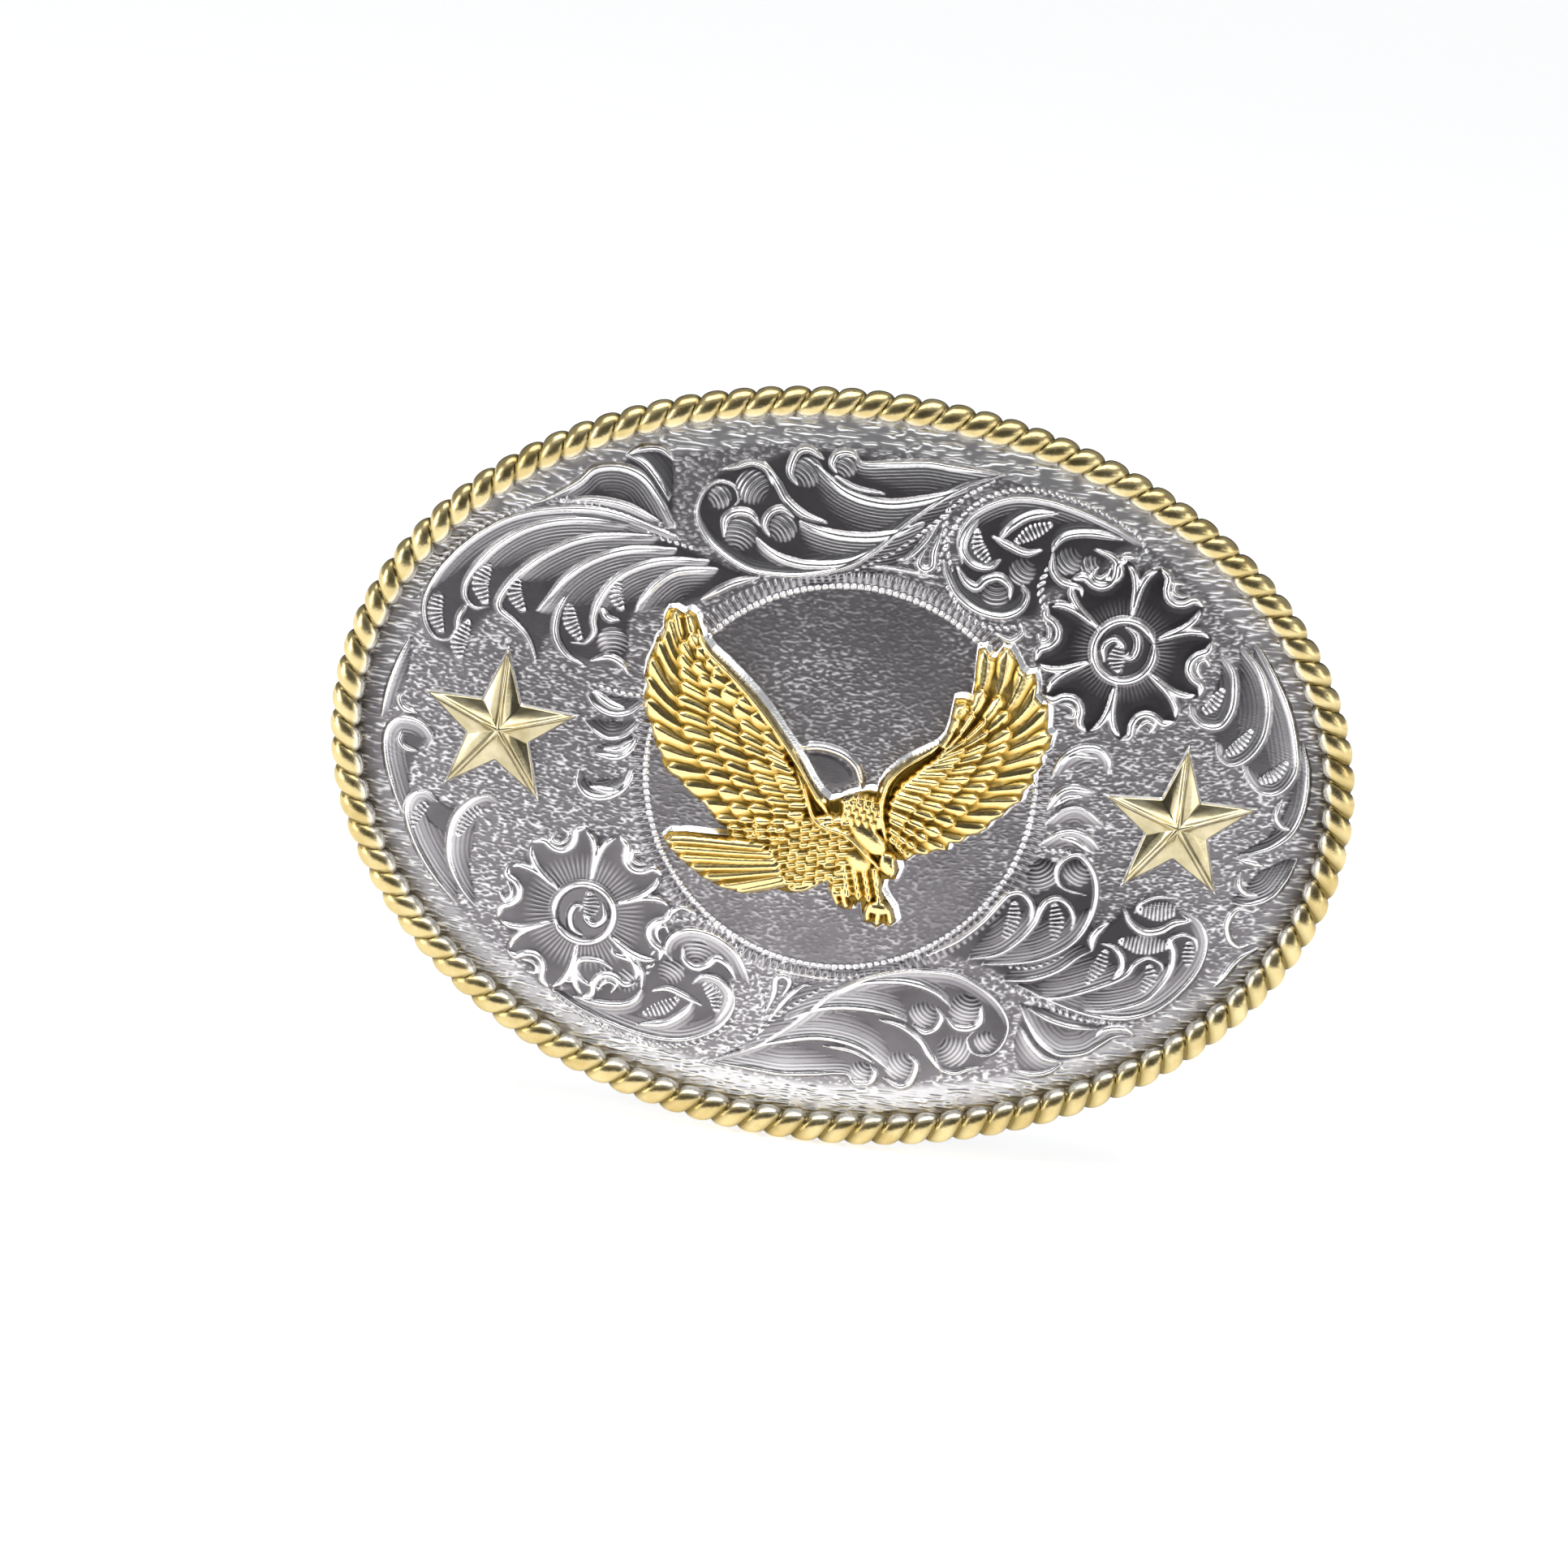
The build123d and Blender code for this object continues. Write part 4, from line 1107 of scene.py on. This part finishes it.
def build_eagle():
    """The eagle as a closed casting on the dome, cut to its outline."""
    relief = eagle_relief()
    outline = np.array(EAGLE_OUTLINE) + EAGLE_SHIFT
    _, x, z = relief.everywhere()
    inside = inside_distance(outline, x, z)
    keep = inside > -0.5 * EAGLE_STEP
    cells = keep[:-1, :-1] & keep[1:, :-1] & keep[:-1, 1:] & keep[1:, 1:]
    slope_z, slope_x = np.gradient(inside, EAGLE_STEP)
    near = np.abs(inside) < 0.75 * EAGLE_STEP
    x = np.where(near, x - inside * slope_x, x)
    z = np.where(near, z - inside * slope_z, z)
    rounding = np.clip(inside / EAGLE_EDGE, 0, 1)
    height = EAGLE_FOOT + (relief.height - EAGLE_FOOT) * np.sqrt(1 - (1 - rounding) ** 2)
    height = np.minimum(height, EAGLE_HEIGHT)
    # Painted shade: samples that lie below their neighbours' average get a darker colour
    gap = np.clip(0.25 + (blurred(relief.height, GAP_REACH) - relief.height) / GAP_DEPTH, 0, 1)
    columns = x.shape[1]
    i, j = np.nonzero(cells)
    first = i * columns + j
    quads = np.stack([first, first + 1, first + columns + 1, first + columns], -1)
    used = np.unique(quads)
    place = np.full(x.size, -1)
    place[used] = np.arange(len(used))
    top = place[quads]
    bottom = top[:, ::-1] + len(used)
    edges = dict.fromkeys((a, b) for quad in top for a, b in zip(quad, np.roll(quad, -1)))
    walls = [(b, a, a + len(used), b + len(used)) for a, b in edges if (b, a) not in edges]
    fx, fz, fh = x.ravel()[used], z.ravel()[used], height.ravel()[used]
    points = np.vstack([on_sphere(fx, fz, FACE_RADIUS + fh), on_sphere(fx, fz, FACE_RADIUS)])
    casting = mesh_object("eagle_casting", points, np.vstack([top, bottom, np.array(walls)]))
    set_attribute(casting, "gap", np.tile(gap.ravel()[used], 2))
    return casting


# ---------------------------------------------------------------- the stars

def build_star(node):
    """A star with a narrow crest along each arm, hollowed facets and a thin silver skirt round its foot."""
    corners = 2 * STAR_POINTS
    angle = np.radians(90 + np.arange(corners) * 180 / STAR_POINTS)
    reach = np.where(np.arange(corners) % 2 == 0, STAR_RADIUS, STAR_VALLEY)
    ends = np.stack([reach * np.cos(angle), reach * np.sin(angle)], -1)
    share = np.arange(STAR_STEPS) / STAR_STEPS
    rim = (ends[:, None] + share[None, :, None] * (np.roll(ends, -1, axis=0) - ends)[:, None]).reshape(-1, 2)
    side = np.arctan2(rim[:, 1], rim[:, 0]) - np.pi / 2
    arm = 2 * np.pi / STAR_POINTS
    side = (side + arm / 2) % arm - arm / 2  # angle from the nearest arm's crest
    out = np.hypot(rim[:, 0], rim[:, 1])
    around = len(rim)
    rings = []
    heights = []
    skirt = []
    for s in np.linspace(0.02, STAR_FACETS, STAR_RINGS):
        off = s * out * np.abs(np.sin(side))
        slope = STAR_PEAK + (STAR_EDGE - STAR_PEAK) * s / STAR_FACETS
        crest = STAR_CREST * np.exp(-((off / STAR_CREST_WIDTH) ** 4)) * min(1, 5 * s) * min(1, 5 * (1 - s))
        dip = STAR_DIP * np.clip(off / 1.1, 0, 1) * (1 - s) * np.clip(s * 3, 0, 1)
        rings.append(rim * s)
        heights.append(slope + crest - dip)
        skirt.append(0.0)
    for s, height in STAR_SKIRT:
        rings.append(rim * s)
        heights.append(np.full(around, height))
        skirt.append(1.0)
    flat = np.vstack(rings)
    x, z = STAR_PLACES[node]
    points = on_sphere(flat[:, 0] + x, flat[:, 1] + z, FACE_RADIUS + np.concatenate(heights))
    quads = grid_quads(len(rings), around, wrap_columns=True)[:, ::-1]
    last = (len(rings) - 1) * around
    caps = [np.arange(around), last + np.arange(around)[::-1]]
    star = mesh_object(f"{node}_casting", points, quads, caps)
    set_attribute(star, "skirt", np.repeat(skirt, around))
    return star


# ---------------------------------------------------------------- the fittings at the back

def stack(name, rings, closed=False, crease=30):
    """A mesh from rings of points, open in the middle if the last ring joins the first."""
    around = len(rings[0])
    quads = grid_quads(len(rings), around, wrap_rows=closed, wrap_columns=True)
    last = (len(rings) - 1) * around
    caps = () if closed else (np.arange(around)[::-1], last + np.arange(around))
    return mesh_object(name, np.vstack(rings), quads, caps, crease)


def circle(count):
    """Evenly spaced angles round a circle."""
    return np.arange(count) * 2 * np.pi / count


def unit(vector):
    """The vector at length 1."""
    return vector / np.linalg.norm(vector)


def rounded_route(corners, bend):
    """(points, directions) along a route whose right-angled corners are rounded."""
    corners = [np.array(c, float) for c in corners]
    points = [corners[0]]
    directions = [unit(corners[1] - corners[0])]
    for before, corner, after in zip(corners, corners[1:], corners[2:]):
        into = unit(corner - before)
        out = unit(after - corner)
        centre = corner + bend * (out - into)
        for turn in np.linspace(0, np.pi / 2, BEND_STEPS):
            points.append(centre + bend * (into * np.sin(turn) - out * np.cos(turn)))
            directions.append(into * np.cos(turn) + out * np.sin(turn))
    points.append(corners[-1])
    directions.append(directions[-1])
    return points, directions


def build_bail():
    """The bent wire, round in section, with its ends slightly rounded."""
    points, directions = rounded_route(BAIL_ROUTE, BAIL_BEND)
    radii = [WIRE_RADIUS] * len(points)
    for end, step in ((0, 1), (-1, -1)):
        second = 1 if step > 0 else len(points) - 1
        points.insert(second, points[end] + step * WIRE_END * directions[end])
        directions.insert(second, directions[end])
        radii.insert(1, WIRE_RADIUS)
        radii[end] = WIRE_RADIUS - WIRE_END
    out = np.array([*heading(BAIL_TILT), 0])
    up = np.array([0.0, 0.0, 1.0])
    normal = np.cross(out, up)
    hinge = np.array([HINGE_X, HINGE_Y, 0])
    angle = circle(WIRE_SIDES)
    rings = []
    for (along, height), (a, b), radius in zip(points, directions, radii):
        side = np.cross(normal, a * out + b * up)
        offset = np.cos(angle)[:, None] * side + np.sin(angle)[:, None] * normal
        rings.append(hinge + along * out + height * up + radius * offset)
    return stack("bail_wire", rings)


def plate_rings(edge, thickness):
    """Rings for the side of a plate on the back, rear to front. edge gives its outline at an inset."""
    rear = REAR_RADIUS - thickness
    near = 0.3 * PLATE_EDGE
    rings = []
    for inset, radius in ((PLATE_EDGE, rear), (near, rear + near), (0, rear + PLATE_EDGE), (0, REAR_RADIUS)):
        x, z = edge(inset)
        rings.append(on_sphere(x, z, radius))
    return rings


def bracket_edge(inset):
    """The bracket's outline: a rectangle with rounded corners, with points all along its upright sides."""
    corner = BRACKET_CORNER - inset
    half_x = BRACKET_HALF_WIDTH - inset - corner
    half_z = BRACKET_HALF_HEIGHT - inset - corner
    turn = np.linspace(0, np.pi / 2, BRACKET_TURN)
    x, z = [], []
    for quarter, (side_x, side_z) in enumerate(((1, 1), (-1, 1), (-1, -1), (1, -1))):
        x.append(side_x * half_x + corner * np.cos(turn + quarter * np.pi / 2))
        z.append(side_z * half_z + corner * np.sin(turn + quarter * np.pi / 2))
        if quarter % 2:
            run = np.linspace(-1, 1, BRACKET_RUN + 2)[1:-1] * side_x
            x.append(np.full(BRACKET_RUN, side_x * (half_x + corner)))
            z.append(run * half_z)
    return np.concatenate(x) + HINGE_X, np.concatenate(z)


def knuckle_section(z, inset):
    """(outside, bore) of a knuckle at a height: round over the wire, with straight sides down to the base."""
    angle = circle(KNUCKLE_SIDES)
    cos, sin = np.cos(angle), np.sin(angle)
    height = np.full(KNUCKLE_SIDES, z)
    outside = KNUCKLE_RADIUS - inset
    reach = np.full(KNUCKLE_SIDES, outside)
    lower = sin < -0.01
    for _ in range(6):
        x = HINGE_X + reach * cos
        floor = on_sphere(x, height, REAR_RADIUS - BRACKET_THICKNESS / 2)[:, 1]
        side = outside / np.maximum(np.abs(cos), 0.01)
        reach = np.where(lower, np.minimum(side, (HINGE_Y - floor) / np.maximum(-sin, 0.01)), outside)
    outer = np.stack([HINGE_X + reach * cos, HINGE_Y + reach * sin, height], -1)
    bore = np.stack([HINGE_X + KNUCKLE_BORE * cos, HINGE_Y + KNUCKLE_BORE * sin, height], -1)
    return outer, bore


def build_bracket():
    """The hinge bracket: a base that follows the back plate, and a knuckle above and below the middle."""
    edge_x, edge_z = bracket_edge(PLATE_EDGE)
    shares = np.linspace(0.04, 0.94, 10)
    rear, front = ([on_sphere(HINGE_X + s * (edge_x - HINGE_X), s * edge_z, radius) for s in shares]
                   for radius in (REAR_RADIUS - BRACKET_THICKNESS, REAR_RADIUS))
    pieces = [stack("bracket_base", [*rear, *plate_rings(bracket_edge, BRACKET_THICKNESS), *front[::-1]])]
    near, far = KNUCKLE_ENDS
    ends = ((near, KNUCKLE_END), (near + KNUCKLE_END, 0), (far - KNUCKLE_END, 0), (far, KNUCKLE_END))
    for side in (-1, 1):
        rings = [knuckle_section(side * near, KNUCKLE_END)[1]]
        for height, inset in ends:
            rings.append(knuckle_section(side * height, inset)[0])
        rings.append(knuckle_section(side * far, KNUCKLE_END)[1])
        if side < 0:
            rings = rings[::-1]
        pieces.append(stack("knuckle", rings, closed=True))
    return join("hinge_bracket", pieces)


def join(name, pieces):
    """One object from several meshes."""
    with bpy.context.temp_override(active_object=pieces[0], selected_editable_objects=pieces):
        bpy.ops.object.join()
    pieces[0].name = name
    return pieces[0]


def hook_ring(radius, height=0.0, sphere=None):
    """A ring round the leaning hook, at a height above its foot or where it meets a layer's sphere."""
    angle = circle(HOOK_SIDES)[:, None]
    right, back = heading(HOOK_TILT)
    axis = np.array([-back, right, 0])
    across = np.array([right, back, 0])
    outward = np.cos(angle) * across + np.sin(angle) * [0, 0, 1]
    ring = on_sphere(HOOK_X, 0.0, REAR_RADIUS) + radius * outward
    if sphere:
        from_centre = ring - [0, REAR_RADIUS, 0]
        along = from_centre @ axis
        height = -along - np.sqrt(along**2 - (from_centre**2).sum(axis=1) + sphere**2)
        height = height[:, None]
    return ring + height * axis


def build_hook_post():
    """The leaning post: a spigot in the washer, a collar, and a shaft with a rounded tip."""
    seat = REAR_RADIUS - WASHER_THICKNESS - COLLAR_GAP
    rings = [
        hook_ring(SPIGOT_RADIUS, sphere=REAR_RADIUS),
        hook_ring(SPIGOT_RADIUS, sphere=seat),
        hook_ring(COLLAR_RADIUS, sphere=seat),
        hook_ring(COLLAR_RADIUS, HOOK_SHOULDER - COLLAR_EDGE),
        hook_ring(COLLAR_RADIUS - COLLAR_EDGE, HOOK_SHOULDER),
        hook_ring(HOOK_RADIUS, HOOK_SHOULDER),
        hook_ring(HOOK_RADIUS, HOOK_TOP),
    ]
    for turn in np.linspace(0, np.pi / 2, 14)[1:-1]:
        rings.append(hook_ring(HOOK_RADIUS * np.cos(turn), HOOK_TOP + HOOK_RADIUS * np.sin(turn)))
    return stack("hook_shaft", rings[::-1])


def washer_edge(inset):
    """The washer's outline."""
    angle = circle(HOOK_SIDES)
    radius = WASHER_RADIUS - inset
    return HOOK_X + radius * np.cos(angle), radius * np.sin(angle)


def build_washer():
    """The washer under the hook, with its edge rounded and its hole along the hook."""
    rear = REAR_RADIUS - WASHER_THICKNESS
    hole = hook_ring(WASHER_HOLE, sphere=rear)
    side = plate_rings(washer_edge, WASHER_THICKNESS)
    between = []
    for share in (0.3, 0.6, 0.85):
        x, _, z = (hole + share * (side[0] - hole)).T
        between.append(on_sphere(x, z, rear))
    rings = [hook_ring(WASHER_HOLE, sphere=REAR_RADIUS), hole, *between, *side]
    return stack("hook_washer", rings, closed=True)


# ---------------------------------------------------------------- materials

def new_material(name):
    """A metal material with its node tree, its shader and a shared object-space position."""
    material = bpy.data.materials.new(name)
    material.use_nodes = True
    tree = material.node_tree
    shader = tree.nodes["Principled BSDF"]
    shader.inputs["Metallic"].default_value = 1.0
    place = tree.nodes.new("ShaderNodeTexCoord")
    return material, tree, shader, place.outputs["Object"]


def noise(tree, place, scale, detail=4.0, stretch=(1, 1, 1)):
    """A noise pattern over the object, stretched along its axes."""
    mapping = tree.nodes.new("ShaderNodeMapping")
    mapping.inputs["Scale"].default_value = stretch
    tree.links.new(place, mapping.inputs["Vector"])
    texture = tree.nodes.new("ShaderNodeTexNoise")
    texture.inputs["Scale"].default_value = scale
    texture.inputs["Detail"].default_value = detail
    tree.links.new(mapping.outputs["Vector"], texture.inputs["Vector"])
    return texture.outputs["Fac"]


def ramp(tree, value, stops):
    """Colours along a value."""
    node = tree.nodes.new("ShaderNodeValToRGB")
    elements = node.color_ramp.elements
    while len(elements) < len(stops):
        elements.new(0.5)
    for element, (position, colour) in zip(elements, stops):
        element.position = position
        element.color = (*colour, 1)
    tree.links.new(value, node.inputs["Fac"])
    return node.outputs["Color"]


def remap(tree, value, low, high):
    """A value from 0 to 1, turned into one from low to high."""
    node = tree.nodes.new("ShaderNodeMapRange")
    node.inputs["To Min"].default_value = low
    node.inputs["To Max"].default_value = high
    tree.links.new(value, node.inputs["Value"])
    return node.outputs["Result"]


def add_values(tree, first, second):
    """The sum of two values."""
    node = tree.nodes.new("ShaderNodeMath")
    node.operation = "ADD"
    tree.links.new(first, node.inputs[0])
    tree.links.new(second, node.inputs[1])
    return node.outputs["Value"]


def attribute(tree, name):
    """One of the mesh's own numbers."""
    node = tree.nodes.new("ShaderNodeAttribute")
    node.attribute_name = name
    return node.outputs["Fac"]


def dress(tree, shader, colour, rough, grain, depth, strength=0.6):
    """Give a shader its colour, its roughness and a fine grain of that depth, in metres."""
    node = tree.nodes.new("ShaderNodeBump")
    node.inputs["Distance"].default_value = depth
    node.inputs["Strength"].default_value = strength
    tree.links.new(grain, node.inputs["Height"])
    tree.links.new(colour, shader.inputs["Base Color"])
    tree.links.new(rough, shader.inputs["Roughness"])
    tree.links.new(node.outputs["Normal"], shader.inputs["Normal"])


def silver_material():
    """Bright silver on the cut edges and a dark antique finish in the stippled ground, both deepened by
    painted light and shade.
    """
    material, tree, shader, place = new_material("engraved silver")
    # This attribute holds the polish together with painted light and shade: highlights on crests, shade in
    # hollows and leaf bodies, glints on the stipple
    polish_and_painted_light = attribute(tree, "polish_and_painted_light")
    stains = remap(tree, noise(tree, place, 260), -0.07, 0.07)
    level = add_values(tree, polish_and_painted_light, stains)
    colour = ramp(tree, level, [(0.0, (0.06, 0.055, 0.06)), (0.3, (0.30, 0.285, 0.30)),
                                (0.7, (0.80, 0.785, 0.80)), (1.0, (0.96, 0.955, 0.95))])
    rough = remap(tree, level, 0.40, 0.22)
    rough = add_values(tree, rough, remap(tree, attribute(tree, "satin"), 0, 0.26))
    rough = add_values(tree, rough, remap(tree, noise(tree, place, 1800), -0.03, 0.03))
    dress(tree, shader, colour, rough, noise(tree, place, 2600, 3, (1, 1, 2.2)), 0.00003, 0.5)
    return material


def plated_material(name, dark, light, low, high, scale, stretch=(1, 1, 1)):
    """Plated metal, with a colour that drifts from dark to light and a roughness from low to high."""
    material, tree, shader, place = new_material(name)
    drift = noise(tree, place, scale, 5, stretch)
    colour = ramp(tree, drift, [(0.3, dark), (0.7, light)])
    rough = remap(tree, noise(tree, place, scale * 2.5, 4, stretch), low, high)
    dress(tree, shader, colour, rough, noise(tree, place, scale * 6, 3, stretch), 0.00001)
    return material


def mix(tree, share, first, second):
    """Two colours mixed by a value."""
    node = tree.nodes.new("ShaderNodeMix")
    node.data_type = "RGBA"
    tree.links.new(share, node.inputs["Factor"])
    tree.links.new(first, node.inputs["A"])
    node.inputs["B"].default_value = (*second, 1)
    return node.outputs["Result"]


def eagle_material():
    """Gold with painted light and shade: bright on the crests and dark brown in the gaps between feathers."""
    material, tree, shader, place = new_material("eagle gold")
    # The gap attribute is painted shade, darkening the gold between the feathers
    level = add_values(tree, attribute(tree, "gap"), remap(tree, noise(tree, place, 500), -0.08, 0.08))
    colour = ramp(tree, level, [(0.10, (0.96, 0.77, 0.36)), (0.34, (0.82, 0.56, 0.17)),
                                (0.62, (0.52, 0.33, 0.07)), (0.95, (0.22, 0.14, 0.025))])
    spread = remap(tree, noise(tree, place, 1200), -0.04, 0.04)
    rough = add_values(tree, remap(tree, level, 0.2, 0.42), spread)
    dress(tree, shader, colour, rough, noise(tree, place, 1500, 3), 0.00008)
    return material


def star_material():
    """Pale gold that wears to silver on the skirt."""
    material, tree, shader, place = new_material("star gold")
    gold = ramp(tree, noise(tree, place, 420, 5), [(0.3, (0.45, 0.385, 0.22)), (0.7, (0.68, 0.60, 0.40))])
    worn = mix(tree, attribute(tree, "skirt"), gold, (0.92, 0.91, 0.88))
    rough = remap(tree, noise(tree, place, 900), 0.14, 0.3)
    dress(tree, shader, worn, rough, noise(tree, place, 1500, 3, (1, 1, 2)), 0.00002, 0.5)
    return material


def rope_material():
    """Pale gold that wears to silver on the inner flank, with painted shade in the grooves and towards the
    lower right.
    """
    material, tree, shader, place = new_material("rope gold")
    drift = noise(tree, place, 300)
    gold = ramp(tree, drift, [(0.3, (0.58, 0.44, 0.18)), (0.7, (0.79, 0.66, 0.35))])
    inner = ramp(tree, attribute(tree, "inner"), [(0.62, (0, 0, 0)), (0.98, (1, 1, 1))])
    # The painted shade darkens the gold in the grooves and at the lower right
    painted_groove_shade = ramp(tree, attribute(tree, "painted_groove_shade"), [(0.22, (0, 0, 0)), (0.66, (0.92, 0.92, 0.92))])
    worn = mix(tree, inner, gold, (0.88, 0.86, 0.78))
    colour = mix(tree, painted_groove_shade, worn, (0.17, 0.12, 0.03))
    rough = remap(tree, noise(tree, place, 900), 0.16, 0.36)
    dress(tree, shader, colour, rough, noise(tree, place, 900, 3), 0.00008)
    return material


def paint(item, material):
    """Give an object this material only."""
    item.data.materials.clear()
    item.data.materials.append(material)


# ---------------------------------------------------------------- studio and camera

def softbox(name, place, size, power):
    """A rectangular light that faces the object. Places and sizes are in millimetres."""
    data = bpy.data.lights.new(name, "AREA")
    data.shape = "RECTANGLE"
    data.size = size[0] * MM
    data.size_y = size[1] * MM
    data.energy = power
    item = bpy.data.objects.new(name, data)
    bpy.context.scene.collection.objects.link(item)
    item.location = Vector(place) * MM
    item.rotation_euler = (-item.location).to_track_quat("-Z", "Y").to_euler()


def card(name, corners, colour, shine=0.0, seen=True):
    """A flat matt card, part of the studio. One that isn't seen only shows in reflections."""
    mesh = bpy.data.meshes.new(name)
    mesh.from_pydata([Vector(c) * MM for c in corners], [], [range(len(corners))])
    item = bpy.data.objects.new(name, mesh)
    bpy.context.scene.collection.objects.link(item)
    material = bpy.data.materials.new(name)
    material.use_nodes = True
    shader = material.node_tree.nodes["Principled BSDF"]
    shader.inputs["Base Color"].default_value = (*colour, 1)
    shader.inputs["Roughness"].default_value = 0.9
    shader.inputs["Emission Color"].default_value = (*colour, 1)
    shader.inputs["Emission Strength"].default_value = shine
    mesh.materials.append(material)
    item.visible_camera = seen
    item.visible_shadow = seen
    item.visible_diffuse = seen


def build_studio():
    """A pale floor and low walls, soft lights, and dark cards for the metal to reflect."""
    ground = -HALF_HEIGHT - 0.05
    corners = [(x * FLOOR_REACH, y * FLOOR_REACH) for x, y in ((-1, -1), (1, -1), (1, 1), (-1, 1))]
    card("floor", [(x, y, ground) for x, y in corners], PALE, FLOOR_GLOW)
    for side, (a, b) in enumerate(zip(corners, corners[1:] + corners[:1])):
        wall = [(*a, ground), (*b, ground), (*b, WALL_HEIGHT), (*a, WALL_HEIGHT)]
        card(f"wall_{side}", wall, PALE, WALL_GLOW)
    dark_corners = [(-DARK_REACH, -DARK_FAR), (DARK_REACH, -DARK_FAR), (DARK_NEAR_REACH, -DARK_NEAR),
                    (-DARK_NEAR_REACH, -DARK_NEAR)]
    card("dark_floor_card", [(x, y, ground + 0.5) for x, y in dark_corners], DARK, seen=False)
    for name, y in (("dark_front_card", -DARK_FAR), ("dark_rear_card", DARK_FAR)):
        upright = [(-DARK_REACH, ground), (DARK_REACH, ground), (DARK_REACH, DARK_HEIGHT),
                   (-DARK_REACH, DARK_HEIGHT)]
        card(name, [(x, y, z) for x, z in upright], DARK, seen=False)
    for light in LIGHTS:
        softbox(*light)
    world = bpy.data.worlds.new("studio")
    world.use_nodes = True
    background = world.node_tree.nodes["Background"]
    background.inputs["Color"].default_value = (*SKY, 1)
    background.inputs["Strength"].default_value = SKY_STRENGTH
    bpy.context.scene.world = world
    bpy.context.scene.view_settings.view_transform = "Standard"


def build_camera():
    """The camera in front and a little above, rolled so that the buckle's right end hangs lower."""
    away, rise = heading(CAMERA_ELEVATION)
    back = Vector((0, -away, rise))
    level = (-back).to_track_quat("-Z", "Y").to_matrix()
    turned = level @ Matrix.Rotation(math.radians(CAMERA_ROLL), 3, "Z")
    right = turned @ Vector((1, 0, 0))
    up = turned @ Vector((0, 1, 0))
    data = bpy.data.cameras.new("camera")
    data.sensor_width = 36.0
    data.lens = data.sensor_width * CAMERA_DISTANCE / FIELD_WIDTH
    data.clip_start = 0.01
    data.clip_end = 20.0
    camera = bpy.data.objects.new("camera", data)
    bpy.context.scene.collection.objects.link(camera)
    camera.location = (back * CAMERA_DISTANCE - right * FRAME_RIGHT - up * FRAME_UP) * MM
    camera.rotation_euler = turned.to_euler()
    bpy.context.scene.camera = camera


# ---------------------------------------------------------------- put together

silver = silver_material()
rope_gold = rope_material()
eagle_gold = eagle_material()
star_gold = star_material()
nickel_back = plated_material("brushed nickel", (0.42, 0.42, 0.43), (0.56, 0.56, 0.57), 0.28, 0.42, 250,
                              (0.15, 1, 3))
nickel_fitting = plated_material("satin nickel", (0.48, 0.48, 0.49), (0.60, 0.60, 0.61), 0.22, 0.36, 350)
nickel_wire = plated_material("polished nickel", (0.58, 0.58, 0.59), (0.68, 0.68, 0.70), 0.10, 0.2, 350)
paint(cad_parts["back_plate"], nickel_back)

# Each piece with the node that it stands in for, its body, its slot and its material
PIECES = [
    (build_face(), "face_plate", "buckle", "silver_plate", silver),
    (build_rope(), "rope_edge", "buckle", "gold_rope", rope_gold),
    (build_eagle(), "eagle", "buckle", "gold_eagle", eagle_gold),
    (build_star("star_left"), "star_left", "buckle", "gold_star", star_gold),
    (build_star("star_right"), "star_right", "buckle", "gold_star", star_gold),
    (build_bail(), "bail_loop", "bail", "nickel_wire", nickel_wire),
    (build_bracket(), "bail_bracket", "buckle", "nickel_fitting", nickel_fitting),
    (build_washer(), "hook_plate", "buckle", "nickel_fitting", nickel_fitting),
    (build_hook_post(), "hook_post", "buckle", "nickel_fitting", nickel_fitting),
]
for piece, node, body, slot, finish in PIECES:
    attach(piece, body)
    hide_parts(node)
    paint(piece, finish)

build_studio()
build_camera()
